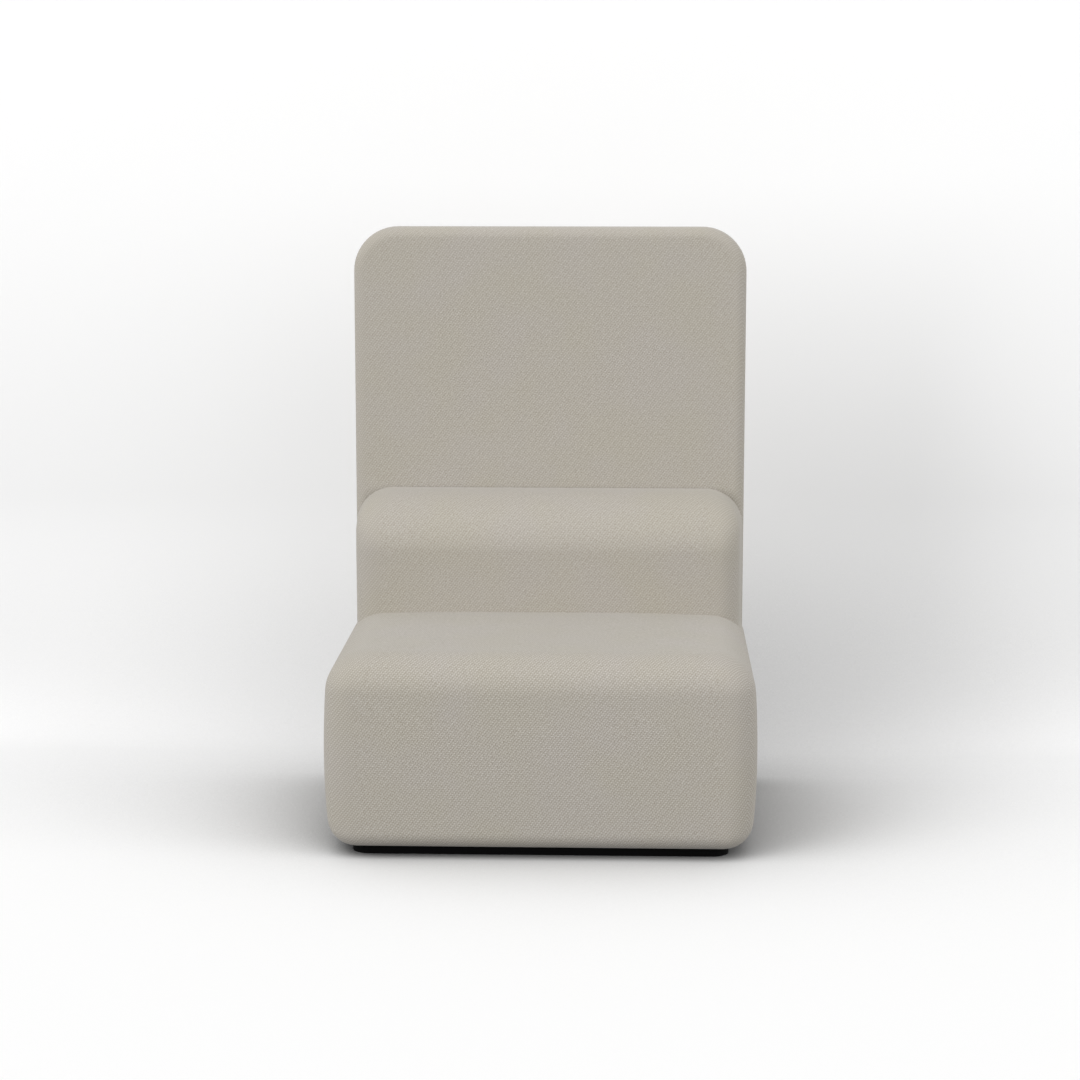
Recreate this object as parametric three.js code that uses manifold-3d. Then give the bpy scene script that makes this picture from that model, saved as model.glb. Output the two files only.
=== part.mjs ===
// Upholstered lounge chair with a tall acoustic back panel.
// Millimetres, +Z up, the chair faces -Y, and z = 0 is the floor.

import * as THREE from 'three';
import { mergeVertices } from 'three/addons/utils/BufferGeometryUtils.js';
import Module from 'manifold-3d';

const wasm = await Module();
wasm.setup();

// Overall sizes
const chairWidth = 900; // across the high panel
const chairDepth = 740;
const chairHeight = 1300;
const seatHeight = 434.4; // over the floor, at the foot of the cushion's crown
const fit = 0.3; // gap between pieces that touch
const cutOverrun = 40; // how far a cutting tool runs past the piece

// Seat block
const blockSideInset = 2.3; // each side face inside the panel's side, before the crown
const blockSideCrown = 10.8;
const blockFrontCrown = 2.6;
const blockTopCrown = 5;
const blockUnderside = 22; // over the floor
const blockTopRadius = 78;
const blockSideFootRadius = 51; // where a side turns under
const blockFrontFootRadius = 34; // where the front turns under
const blockCornerRadius = 63; // upright corners, in plan
const blockRearRadius = 6;
const proudHeightShare = 0.47; // height at which the side crown stands proudest
const cornerSharpenShare = 0.3; // part of the top's draw-in that sharpens the upright corners
const crownReachShare = 0.85; // how far the top crown's rings close towards the middle

// Low back
const lowBackSideInset = 3; // each side inside the panel's side, against the panel
const lowBackTaper = 15; // each side draws in this much from the panel to the front
const lowBackThickness = 162.7;
const lowBackHeight = 702; // its top, over the floor
const lowBackFrontRadius = 142;
const lowBackSideRadius = 86;
const lowBackCornerRadius = 48;
const lowBackRearRadius = 6;

// High back panel
const panelThickness = 75;
const panelRearCrown = 2;
const panelTopRadius = 101;
const panelBottomRadius = 20;
const panelEdgeRadius = 26;
const panelLeastRadius = 4;

// Fabric and foam
const coverThickness = 2.3;
const underFlap = 26; // fabric turned under a frame
const rearFlap = 38; // fabric turned round a rear edge
const panelFlap = 20; // fabric turned under the panel
const foamSkirtRise = 16; // the front and side foams stop this far over the underside
const panelFoam = 13;

// Plinth
const plinthInset = 46.5; // from the block's front and side faces
const plinthRearInset = 50;
const plinthBoard = 18;
const plinthCornerRadius = 38;

// Seat frame
const frameHeight = 270;
const frameBoard = 22;
const frameRearRadius = 4;
const railEdgeRadius = 8;
const centreRailHeight = 90;
const centreRailArch = 34;
const centreRailFoot = 70;
const handHoleLength = 112;
const handHoleHeight = 34;

// Corner blocks
const cornerBlockLeg = 104;
const cornerBlockTip = 14; // flat across each thin end
const cornerBlockHeight = 44;

// Webbing
const strapWidth = 55;
const strapThickness = 1.8;
const strapEndInset = 9; // from the frame's outer face
const longStrapCount = 5;
const crossStrapCount = 4;

// Levelling glides and their inserts
const glideInset = 62; // from the frame's outer faces to a glide's middle
const glideClearOfFloor = 0.5;
const glideRadius = 19;
const glideChamfer = 1.6;
const glidePadHeight = 7;
const glideNeckRadius = 9.5;
const glideNeckRise = 13;
const stemRadius = 4;
const stemLength = 36;
const stemTip = 1.2;
const insertRadius = 6.4;
const insertFlangeRadius = 11;
const insertFlange = 1.6;
const insertLength = 20;

// Dust cover
const dustCoverThickness = 1.2;
const dustCoverHoleRadius = 15;

// Low back board
const boardThickness = 18;
const boardSideInset = 34;
const boardTopInset = 40;
const boardBottomRise = 14; // over the seat
const boardCornerRadius = 70;

// Panel frame and its infill
const panelFrameInset = 14; // its outline inside the panel's outline
const stileWidth = 58;
const railWidth = 70;
const topRailHeight = 104;
const topRailArch = 30;
const infillThickness = 30;

// Bolts
const boltRadius = 4;
const boltTip = 1;
const boltHeadRadius = 7;
const boltHeadHeight = 5;
const boltSocketRadius = 3.2;
const boltSocketDepth = 3;
const washerRadius = 10;
const washerThickness = 1.6;
const boltHoleClearance = 0.5;
const boltPocketClearance = 2;
const seatBoltBite = 30; // depth in the panel's rail
const lowBackBoltBite = 15; // depth in the low back board
const boltInset = 41; // from the corner blocks to the middle of a bolt

// Steps round the curved stretches
const fine = { corner: 6, edge: 6, side: 5, crown: 3, run: 3, rear: 1, foot: 2 };
const coarse = { corner: 4, edge: 4, side: 4, crown: 2, run: 2, rear: 1, foot: 2 };
const glideStepCount = 18;
const boltStepCount = 12;
const arcStepCount = 8;

// Places worked out from the sizes
const foamLoose = coverThickness + fit;
const quarterTurn = Math.PI / 2;
const panelHalf = chairWidth / 2;
const blockHalf = panelHalf - blockSideInset;
const lowBackHalf = panelHalf - lowBackSideInset;
const frontFace = -chairDepth / 2 + blockFrontCrown;
const panelRear = chairDepth / 2 - panelRearCrown;
const panelFront = panelRear - panelThickness;
const panelMiddle = (panelFront + panelRear) / 2;
const seatRear = panelFront - fit;
const frameHalf = blockHalf - blockSideFootRadius - fit;
const frameFront = frontFace + blockFrontFootRadius + fit;
const frameRear = seatRear - foamLoose;
const frameBottom = blockUnderside + foamLoose;
const frameTop = frameBottom + frameHeight;
const frameInnerHalf = frameHalf - frameBoard - fit;
const frameInnerFront = frameFront + frameBoard + fit;
const frameInnerRear = frameRear - frameBoard - fit;
const webMiddle = frameTop + fit + strapThickness / 2;
const webWave = (strapThickness + fit) / 2;
const webTop = webMiddle + webWave + strapThickness / 2;
const lowBackFront = seatRear - lowBackThickness;
const boardRear = seatRear - foamLoose;
const boardBottom = seatHeight + blockTopCrown + boardBottomRise;
const boardTop = lowBackHeight - boardTopInset;
const panelFrameHalf = panelHalf - panelFrameInset;
const panelFrameBottom = blockUnderside + panelFrameInset;
const panelFrameTop = chairHeight - panelFrameInset;
const panelFrameDepth = panelThickness - 2 * (foamLoose + panelFoam + fit);
const panelFrameFront = panelMiddle - panelFrameDepth / 2;
const panelFrameRear = panelMiddle + panelFrameDepth / 2;
const panelBayHalf = panelFrameHalf - stileWidth - fit;
const topRailBottom = panelFrameTop - topRailHeight;
const lowBoltHeight = panelFrameBottom + railWidth / 2;
const highBoltHeight = frameTop - railWidth / 2;
const lowBackBoltHeight = (boardBottom + boardTop) / 2;

// Materials
const finishes = {
  fabric: { color: 0xb0a99d, roughness: 0.95, metalness: 0 },
  foam: { color: 0xe9e2cf, roughness: 0.9, metalness: 0 },
  felt: { color: 0x8a8a86, roughness: 0.95, metalness: 0 },
  lacquer: { color: 0x0c0c0d, roughness: 0.55, metalness: 0 },
  plywood: { color: 0xc9a877, roughness: 0.7, metalness: 0 },
  pine: { color: 0xdcc08f, roughness: 0.75, metalness: 0 },
  webbing: { color: 0x3a3632, roughness: 0.8, metalness: 0 },
  cambric: { color: 0x1a1a1a, roughness: 0.95, metalness: 0 },
  nylon: { color: 0x17181a, roughness: 0.5, metalness: 0 },
  steel: { color: 0xb9bcc0, roughness: 0.35, metalness: 1 },
};

const chair = new THREE.Group();
const sides = [
  { name: 'left', sign: -1 },
  { name: 'right', sign: 1 },
];
const ends = [
  { name: 'front', sign: -1 },
  { name: 'rear', sign: 1 },
];

// One named piece with a finish of its own
function add(name, finish, geometry) {
  const mesh = new THREE.Mesh(geometry, new THREE.MeshStandardMaterial(finishes[finish]));
  mesh.name = name;
  chair.add(mesh);
  return mesh;
}

// Closed meshes to solids and back
function toSolid(geometry) {
  const bare = geometry.clone();
  bare.deleteAttribute('normal');
  bare.deleteAttribute('uv');
  const merged = mergeVertices(bare);
  return new wasm.Manifold(new wasm.Mesh({
    numProp: 3,
    vertProperties: new Float32Array(merged.attributes.position.array),
    triVerts: new Uint32Array(merged.index.array),
  }));
}

function toGeometry(solid) {
  const mesh = solid.getMesh();
  const geometry = new THREE.BufferGeometry();
  const positions = new Float32Array(mesh.vertProperties);
  geometry.setAttribute('position', new THREE.BufferAttribute(positions, 3));
  geometry.setIndex(new THREE.BufferAttribute(new Uint32Array(mesh.triVerts), 1));
  geometry.computeVertexNormals();
  return geometry;
}

function cut(geometry, ...tools) {
  return toGeometry(tools.reduce((solid, tool) => solid.subtract(toSolid(tool)), toSolid(geometry)));
}

function common(geometry, ...tools) {
  return toGeometry(tools.reduce((solid, tool) => solid.intersect(toSolid(tool)), toSolid(geometry)));
}

// A box between two corners
function box(x0, x1, y0, y1, z0, z1) {
  const geometry = new THREE.BoxGeometry(x1 - x0, y1 - y0, z1 - z0);
  return geometry.translate((x0 + x1) / 2, (y0 + y1) / 2, (z0 + z1) / 2);
}

// A plan outline raised between two heights
function upright(shape, z0, z1) {
  const geometry = new THREE.ExtrudeGeometry(shape, {
    depth: z1 - z0, bevelEnabled: false, curveSegments: arcStepCount,
  });
  return geometry.translate(0, 0, z0);
}

// A front view outline given its depth between two planes square to Y
function facing(shape, y0, y1) {
  const geometry = new THREE.ExtrudeGeometry(shape, {
    depth: y1 - y0, bevelEnabled: false, curveSegments: arcStepCount,
  });
  return geometry.rotateX(quarterTurn).translate(0, y1, 0);
}

// A side view outline, drawn as (y, z), given its width between two planes square to X
function sideways(shape, x0, x1) {
  const geometry = new THREE.ExtrudeGeometry(shape, {
    depth: x1 - x0, bevelEnabled: false, curveSegments: arcStepCount,
  });
  const turn = new THREE.Matrix4().makeBasis(
    new THREE.Vector3(0, 1, 0), new THREE.Vector3(0, 0, 1), new THREE.Vector3(1, 0, 0),
  );
  return geometry.applyMatrix4(turn).translate(x0, 0, 0);
}

// A turned solid on the Z axis, from a profile of [radius, height] points
function turned(profile, steps) {
  const points = profile.map(([radius, height]) => new THREE.Vector2(radius, height));
  return new THREE.LatheGeometry(points, steps).rotateX(quarterTurn);
}

// A rectangle with its own radius at the lower and at the upper corners
function roundedShape(half, low, high, lowRadius, highRadius) {
  const shape = new THREE.Shape();
  shape.moveTo(-half + lowRadius, low);
  shape.lineTo(half - lowRadius, low);
  if (lowRadius > 0) {
    shape.absarc(half - lowRadius, low + lowRadius, lowRadius, -quarterTurn, 0);
  }
  shape.lineTo(half, high - highRadius);
  if (highRadius > 0) {
    shape.absarc(half - highRadius, high - highRadius, highRadius, 0, quarterTurn);
    shape.absarc(-half + highRadius, high - highRadius, highRadius, quarterTurn, Math.PI);
  } else {
    shape.lineTo(-half, high);
  }
  if (lowRadius > 0) {
    shape.absarc(-half + lowRadius, low + lowRadius, lowRadius, Math.PI, 3 * quarterTurn);
  } else {
    shape.lineTo(-half, low);
  }
  return shape;
}

// A closed loft: each ring has as many points, anticlockwise seen from the last ring
function loft(rings) {
  const count = rings[0].length;
  const points = rings.flat();
  const index = [];
  for (let r = 0; r + 1 < rings.length; r += 1) {
    for (let i = 0; i < count; i += 1) {
      const a = r * count + i;
      const b = r * count + ((i + 1) % count);
      index.push(a, b, b + count, a, b + count, a + count);
    }
  }
  const middle = (ring) => ring.reduce((sum, p) => sum.add(p), new THREE.Vector3()).divideScalar(count);
  const first = points.length;
  points.push(middle(rings[0]), middle(rings[rings.length - 1]));
  const last = (rings.length - 1) * count;
  for (let i = 0; i < count; i += 1) {
    const next = (i + 1) % count;
    index.push(first, next, i, first + 1, last + i, last + next);
  }
  const geometry = new THREE.BufferGeometry().setFromPoints(points);
  geometry.setIndex(index);
  geometry.computeVertexNormals();
  return geometry;
}

// How far a rounded edge has drawn in, at a distance from the face it rounds over to
function drawIn(distance, radius) {
  const rest = Math.max(radius - distance, 0);
  return radius - Math.sqrt(radius ** 2 - rest ** 2);
}

// Outline with four rounded corners, anticlockwise from the lower right one.
// Its sides and its ends are split into runs, so that a crown can bend them.
function roundedRing(half, low, high, lowRadius, highRadius, steps) {
  const corners = [
    { x: half - lowRadius, y: low + lowRadius, radius: lowRadius, turns: steps.corner },
    { x: half - highRadius, y: high - highRadius, radius: highRadius, turns: steps.rear },
    { x: -half + highRadius, y: high - highRadius, radius: highRadius, turns: steps.rear },
    { x: -half + lowRadius, y: low + lowRadius, radius: lowRadius, turns: steps.corner },
  ];
  const at = ({ x, y, radius }, angle) => new THREE.Vector2(
    x + radius * Math.cos(angle),
    y + radius * Math.sin(angle),
  );
  const ring = [];
  corners.forEach((corner, n) => {
    const start = (n - 1) * quarterTurn;
    for (let i = 0; i <= corner.turns; i += 1) {
      ring.push(at(corner, start + (i / corner.turns) * quarterTurn));
    }
    const from = ring[ring.length - 1];
    const to = at(corners[(n + 1) % corners.length], start + quarterTurn);
    for (let i = 1; i < steps.run; i += 1) {
      ring.push(from.clone().lerp(to, i / steps.run));
    }
  });
  return ring;
}

// Heights up the seat block: close together round its edges, and one where its crown is proudest
function blockHeights(bottom, top, footRadius, topRadius, steps) {
  const heights = [];
  for (let i = 0; i < steps.edge; i += 1) {
    heights.push(bottom + footRadius * (1 - Math.cos((i / steps.edge) * quarterTurn)));
  }
  const low = bottom + footRadius;
  const proud = bottom + (top - bottom) * proudHeightShare;
  const pitch = (top - topRadius - low) / steps.side;
  for (let i = 0; i < steps.side; i += 1) {
    const even = low + pitch * i;
    heights.push(proud >= even && proud < even + pitch ? proud : even);
  }
  for (let i = 0; i <= steps.edge; i += 1) {
    heights.push(top - topRadius * (1 - Math.sin((i / steps.edge) * quarterTurn)));
  }
  return heights;
}

// The seat block's form, drawn in all round by an offset, or let out where that is negative
function seatBlock(offset, steps) {
  const bottom = blockUnderside + offset;
  const top = seatHeight - offset;
  const half = blockHalf - offset;
  const front = frontFace + offset;
  const rear = seatRear - offset;
  const topRadius = blockTopRadius - offset;
  const sideFoot = blockSideFootRadius - offset;
  const frontFoot = blockFrontFootRadius - offset;
  const ring = (sideInset, frontInset, rearInset, sharpen, z) => roundedRing(
    half - sideInset, front + frontInset, rear - rearInset,
    Math.max(blockCornerRadius - offset - sharpen, blockRearRadius), blockRearRadius, steps,
  ).map((p) => new THREE.Vector3(p.x, p.y, z));
  const foot = Math.max(sideFoot, frontFoot);
  const rings = blockHeights(bottom, top, foot, topRadius, steps).map((z) => {
    const share = (z - bottom) / (top - bottom);
    const reach = share > proudHeightShare ? 1 - proudHeightShare : proudHeightShare;
    const crown = 1 - ((share - proudHeightShare) / reach) ** 2;
    const sideLow = drawIn(z - bottom, sideFoot);
    const frontLow = drawIn(z - bottom, frontFoot);
    const high = drawIn(top - z, topRadius);
    return ring(
      sideLow + high - blockSideCrown * crown, frontLow + high - blockFrontCrown * crown, 0,
      sideLow + high * cornerSharpenShare, z,
    );
  });
  const halfDepth = (rear - front) / 2;
  for (let i = 1; i <= steps.crown; i += 1) {
    const rise = i / steps.crown;
    const share = rise * crownReachShare;
    rings.push(ring(
      topRadius + (half - topRadius) * share, topRadius + (halfDepth - topRadius) * share,
      halfDepth * share, topRadius * cornerSharpenShare,
      top + blockTopCrown * (1 - (1 - rise) ** 2),
    ));
  }
  return loft(rings);
}

// The low back's form, drawn in all round by an offset. Its foot is cut to the seat later.
function lowBackBlock(offset, steps) {
  const foot = seatHeight - blockTopRadius;
  const top = lowBackHeight - offset;
  const half = lowBackHalf - offset;
  const front = lowBackFront + offset;
  const rear = seatRear - offset;
  const frontRadius = lowBackFrontRadius - offset;
  const sideRadius = lowBackSideRadius - offset;
  const turns = steps.edge + steps.crown;
  const heights = [foot];
  for (let i = 0; i <= turns; i += 1) {
    heights.push(top - frontRadius * (1 - Math.sin((i / turns) * quarterTurn)));
  }
  return loft(heights.map((z) => {
    const back = drawIn(top - z, frontRadius);
    const depth = rear - front - back;
    const ring = roundedRing(
      half - drawIn(top - z, sideRadius), front + back, rear,
      Math.min(lowBackCornerRadius - offset, depth - 2 * lowBackRearRadius), lowBackRearRadius, steps,
    );
    return ring.map((p) => {
      const narrow = 1 - (lowBackTaper / half) * ((rear - p.y) / (rear - front));
      return new THREE.Vector3(p.x * narrow, p.y, z);
    });
  }));
}

// The high panel's form, drawn in all round by an offset. Its rings run from the rear to the front.
function highPanel(offset, steps) {
  const half = panelHalf - offset;
  const low = blockUnderside + offset;
  const high = chairHeight - offset;
  const edge = panelEdgeRadius - offset;
  const rear = panelRear - offset;
  const front = panelFront + offset;
  const turnedSteps = { ...steps, corner: steps.foot, rear: steps.corner };
  const ring = (inset, y) => roundedRing(
    half - inset, low + inset, high - inset,
    Math.max(panelBottomRadius - offset - inset, panelLeastRadius),
    Math.max(panelTopRadius - offset - inset, panelLeastRadius), turnedSteps,
  ).map((p) => new THREE.Vector3(p.x, y, p.y));
  const rings = [];
  for (let i = steps.crown; i > 0; i -= 1) {
    const rise = i / steps.crown;
    rings.push(ring(
      edge + (half - edge) * rise * crownReachShare,
      rear + panelRearCrown * (1 - (1 - rise) ** 2),
    ));
  }
  for (let i = 0; i <= steps.edge; i += 1) {
    const angle = (i / steps.edge) * quarterTurn;
    rings.push(ring(edge * (1 - Math.sin(angle)), rear - edge * (1 - Math.cos(angle))));
  }
  for (let i = 0; i <= steps.edge; i += 1) {
    const angle = (i / steps.edge) * quarterTurn;
    rings.push(ring(edge * (1 - Math.cos(angle)), front + edge * (1 - Math.sin(angle))));
  }
  return loft(rings);
}

// Plinth: two long boards with rounded ends, and two straight boards between them
const plinthHalf = blockHalf - plinthInset;
const plinthFront = frontFace + plinthInset;
const plinthRear = panelRear - plinthRearInset;
const plinthTop = blockUnderside - fit;

function plinthEnd() {
  const inner = plinthCornerRadius - plinthBoard;
  const reach = plinthHalf - plinthCornerRadius;
  const shape = new THREE.Shape();
  shape.absarc(-reach, plinthCornerRadius, plinthCornerRadius, Math.PI, 3 * quarterTurn);
  shape.absarc(reach, plinthCornerRadius, plinthCornerRadius, -quarterTurn, 0);
  shape.absarc(reach, plinthCornerRadius, inner, 0, -quarterTurn, true);
  shape.absarc(-reach, plinthCornerRadius, inner, -quarterTurn, -Math.PI, true);
  return upright(shape, 0, plinthTop);
}

add('plinth_front_board', 'lacquer', plinthEnd().translate(0, plinthFront, 0));
add('plinth_rear_board', 'lacquer', plinthEnd().rotateZ(Math.PI).translate(0, plinthRear, 0));
sides.forEach(({ name, sign }) => {
  const board = box(
    plinthHalf - plinthBoard, plinthHalf,
    plinthFront + plinthCornerRadius + fit, plinthRear - plinthCornerRadius - fit, 0, plinthTop,
  );
  add(`plinth_${name}_board`, 'lacquer', sign > 0 ? board : board.rotateZ(Math.PI)
    .translate(0, plinthFront + plinthRear, 0));
});

// Seat frame: boards trimmed to one rounded outline
function frameEnvelope() {
  const rings = [];
  const levels = [[frameBottom, 0]];
  for (let i = 0; i <= coarse.edge; i += 1) {
    const angle = (i / coarse.edge) * quarterTurn;
    levels.push([
      frameTop - railEdgeRadius * (1 - Math.sin(angle)),
      railEdgeRadius * (1 - Math.cos(angle)),
    ]);
  }
  levels.forEach(([z, inset]) => {
    const ring = roundedRing(
      frameHalf - inset, frameFront + inset, frameRear,
      Math.max(blockCornerRadius - blockSideFootRadius - inset, frameRearRadius), frameRearRadius,
      coarse,
    );
    rings.push(ring.map((p) => new THREE.Vector3(p.x, p.y, z)));
  });
  return loft(rings);
}

// A hole for a bolt, along Y
function boltHole(x, z, y0, y1, radius) {
  const hole = turned([[0, y0], [radius, y0], [radius, y1], [0, y1]], boltStepCount);
  return hole.rotateX(-quarterTurn).translate(x, 0, z);
}

const boltColumn = frameInnerHalf - cornerBlockLeg - boltInset;
const boltColumns = sides.map(({ sign }) => sign * boltColumn);
const shankHole = boltRadius + boltHoleClearance;
const seatBoltPlaces = [lowBoltHeight, highBoltHeight].flatMap(
  (z) => boltColumns.map((x) => [x, z]),
);
const lowBackBoltPlaces = boltColumns.map((x) => [x, lowBackBoltHeight]);

const envelope = frameEnvelope();
sides.forEach(({ name, sign }) => {
  const board = sign > 0
    ? box(frameHalf - frameBoard, frameHalf, frameFront, frameRear, frameBottom, frameTop)
    : box(-frameHalf, -frameHalf + frameBoard, frameFront, frameRear, frameBottom, frameTop);
  add(`frame_${name}_panel`, 'plywood', common(board, envelope));
});
add('frame_front_rail', 'plywood', common(
  box(-frameInnerHalf, frameInnerHalf, frameFront, frameFront + frameBoard, frameBottom, frameTop),
  envelope,
));

const handHole = new THREE.Shape();
const handHoleMiddle = (frameBottom + frameTop) / 2;
const handHoleReach = (handHoleLength - handHoleHeight) / 2;
handHole.absarc(handHoleReach, handHoleMiddle, handHoleHeight / 2, -quarterTurn, quarterTurn);
handHole.absarc(-handHoleReach, handHoleMiddle, handHoleHeight / 2, quarterTurn, 3 * quarterTurn);
add('frame_rear_rail', 'plywood', cut(
  box(-frameInnerHalf, frameInnerHalf, frameRear - frameBoard, frameRear, frameBottom, frameTop),
  facing(handHole, frameRear - frameBoard - cutOverrun, frameRear + cutOverrun),
  ...seatBoltPlaces.map(([x, z]) => boltHole(
    x, z, frameRear - frameBoard - cutOverrun, frameRear + cutOverrun, shankHole,
  )),
));

// Centre rail, front to rear, with an arch over its middle
const centreRail = new THREE.Shape();
const archFront = frameInnerFront + centreRailFoot;
const archRear = frameInnerRear - centreRailFoot;
const archTop = frameBottom + centreRailArch;
centreRail.moveTo(frameInnerFront, frameBottom);
centreRail.lineTo(archFront, frameBottom);
centreRail.quadraticCurveTo(archFront + centreRailArch, archTop, archFront + 2 * centreRailArch, archTop);
centreRail.lineTo(archRear - 2 * centreRailArch, archTop);
centreRail.quadraticCurveTo(archRear - centreRailArch, archTop, archRear, frameBottom);
centreRail.lineTo(frameInnerRear, frameBottom);
centreRail.lineTo(frameInnerRear, frameBottom + centreRailHeight);
centreRail.lineTo(frameInnerFront, frameBottom + centreRailHeight);
add('frame_centre_rail', 'pine', sideways(centreRail, -frameBoard / 2, frameBoard / 2));

// Corner blocks, each with a threaded insert and a levelling glide
const glideX = frameHalf - glideInset;
const glideFront = frameFront + glideInset;
const glideRear = frameRear - glideInset;
const insertBottom = frameBottom - fit - insertFlange;
const insertTop = insertBottom + insertFlange + insertLength;
const boreRadius = stemRadius + fit;
const collarTop = insertBottom - fit;
const stemTop = collarTop + stemLength;
const neckTop = glideClearOfFloor + glidePadHeight + glideNeckRise;

const glideProfile = [
  [0, glideClearOfFloor],
  [glideRadius - glideChamfer, glideClearOfFloor],
  [glideRadius, glideClearOfFloor + glideChamfer],
  [glideRadius, glideClearOfFloor + glidePadHeight],
  [glideNeckRadius, neckTop],
  [glideNeckRadius, collarTop],
  [stemRadius, collarTop],
  [stemRadius, stemTop - stemTip],
  [stemRadius - stemTip, stemTop],
  [0, stemTop],
];
const insertProfile = [
  [boreRadius, insertBottom],
  [insertFlangeRadius, insertBottom],
  [insertFlangeRadius, insertBottom + insertFlange],
  [insertRadius, insertBottom + insertFlange],
  [insertRadius, insertTop],
  [boreRadius, insertTop],
  [boreRadius, insertBottom],
];

ends.forEach((end) => {
  const glideY = end.sign < 0 ? glideFront : glideRear;
  const cornerY = end.sign < 0 ? frameInnerFront : frameInnerRear;
  sides.forEach((side) => {
    const place = `${end.name}_${side.name}`;
    const cornerX = side.sign * frameInnerHalf;
    const inX = (reach) => cornerX - side.sign * reach;
    const inY = (reach) => cornerY - end.sign * reach;
    const block = new THREE.Shape();
    block.moveTo(inX(0), inY(0));
    block.lineTo(inX(cornerBlockLeg), inY(0));
    block.lineTo(inX(cornerBlockLeg), inY(cornerBlockTip));
    block.lineTo(inX(cornerBlockTip), inY(cornerBlockLeg));
    block.lineTo(inX(0), inY(cornerBlockLeg));
    const hole = turned([
      [0, frameBottom - cutOverrun],
      [insertRadius + fit, frameBottom - cutOverrun],
      [insertRadius + fit, frameBottom + cornerBlockHeight + cutOverrun],
      [0, frameBottom + cornerBlockHeight + cutOverrun],
    ], glideStepCount).translate(side.sign * glideX, glideY, 0);
    add(`corner_block_${place}`, 'pine', cut(
      upright(block, frameBottom, frameBottom + cornerBlockHeight), hole,
    ));
    const insert = add(`glide_insert_${place}`, 'steel', turned(insertProfile, glideStepCount));
    const glide = add(`glide_${place}`, 'nylon', turned(glideProfile, glideStepCount));
    insert.position.set(side.sign * glideX, glideY, 0);
    glide.position.set(side.sign * glideX, glideY, 0);
  });
});

// Dust cover
const dustHalf = frameHalf - underFlap - fit;
const dustTop = frameBottom - fit;
const dustHoles = [glideFront, glideRear].flatMap((y) => sides.map(({ sign }) => turned([
  [0, dustTop - dustCoverThickness - cutOverrun],
  [dustCoverHoleRadius, dustTop - dustCoverThickness - cutOverrun],
  [dustCoverHoleRadius, dustTop + cutOverrun],
  [0, dustTop + cutOverrun],
], glideStepCount).translate(sign * glideX, y, 0)));
add('dust_cover', 'cambric', cut(box(
  -dustHalf, dustHalf, frameFront + underFlap + fit, frameRear - underFlap - fit,
  dustTop - dustCoverThickness, dustTop,
), ...dustHoles));

// Interlaced webbing: each strap goes over one neighbour and under the next
function spread(count, from, to) {
  return Array.from({ length: count }, (_, i) => from + ((i + 1) / (count + 1)) * (to - from));
}

function strapShape(start, end, crossings, firstOver) {
  const line = [[start, webMiddle], [start + frameBoard - strapEndInset, webMiddle]];
  crossings.forEach((crossing, i) => {
    const over = (i % 2 === 0) === firstOver;
    const level = webMiddle + (over ? webWave : -webWave);
    line.push([crossing - strapWidth / 2, level], [crossing + strapWidth / 2, level]);
  });
  line.push([end - frameBoard + strapEndInset, webMiddle], [end, webMiddle]);
  const below = line.map(([run, z]) => new THREE.Vector2(run, z - strapThickness / 2));
  const above = line.map(([run, z]) => new THREE.Vector2(run, z + strapThickness / 2));
  return new THREE.Shape([...below, ...above.reverse()]);
}

const longPlaces = spread(longStrapCount, -frameInnerHalf, frameInnerHalf);
const crossPlaces = spread(crossStrapCount, frameInnerFront, frameInnerRear);
longPlaces.forEach((x, i) => {
  const shape = strapShape(frameFront + strapEndInset, frameRear - strapEndInset, crossPlaces, i % 2 === 0);
  add(`strap_long_${i + 1}`, 'webbing', sideways(shape, x - strapWidth / 2, x + strapWidth / 2));
});
crossPlaces.forEach((y, i) => {
  const shape = strapShape(-frameHalf + strapEndInset, frameHalf - strapEndInset, longPlaces, i % 2 !== 0);
  add(`strap_cross_${i + 1}`, 'webbing', facing(shape, y - strapWidth / 2, y + strapWidth / 2));
});

// Seat foam, cut from the block's form inside the cover
const foamForm = seatBlock(foamLoose, coarse);
const foamBottom = webTop + fit;
const skirtBottom = blockUnderside + foamSkirtRise;
const skirtTop = foamBottom - fit;
const wide = blockHalf + cutOverrun;
add('seat_foam', 'foam', common(
  foamForm, box(-wide, wide, frontFace - cutOverrun, seatRear, foamBottom, seatHeight + cutOverrun),
));
add('front_foam', 'foam', common(
  foamForm, box(-wide, wide, frontFace - cutOverrun, frameFront - fit, skirtBottom, skirtTop),
));
sides.forEach(({ name, sign }) => {
  const inner = frameHalf + fit;
  const space = sign > 0
    ? box(inner, wide, frameFront, seatRear, skirtBottom, skirtTop)
    : box(-wide, -inner, frameFront, seatRear, skirtBottom, skirtTop);
  add(`${name}_foam`, 'foam', common(foamForm, space));
});

// Seat cover: a fabric shell, open inside its turned edges
add('seat_cover', 'fabric', cut(
  seatBlock(0, fine),
  seatBlock(coverThickness, coarse),
  box(
    -frameHalf + underFlap, frameHalf - underFlap, frameFront + underFlap, frameRear - underFlap,
    blockUnderside - cutOverrun, frameBottom,
  ),
  box(
    -blockHalf + rearFlap, blockHalf - rearFlap, frameRear, seatRear + cutOverrun,
    blockUnderside + rearFlap, seatHeight - rearFlap,
  ),
));

// Low back: board, foam and cover, all cut to the seat's top
function lowBackBoardForm(offset) {
  const shape = roundedShape(
    lowBackHalf - boardSideInset + offset, boardBottom - offset, boardTop + offset,
    0, boardCornerRadius + offset,
  );
  return facing(shape, boardRear - boardThickness - offset, boardRear + offset);
}

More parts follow.
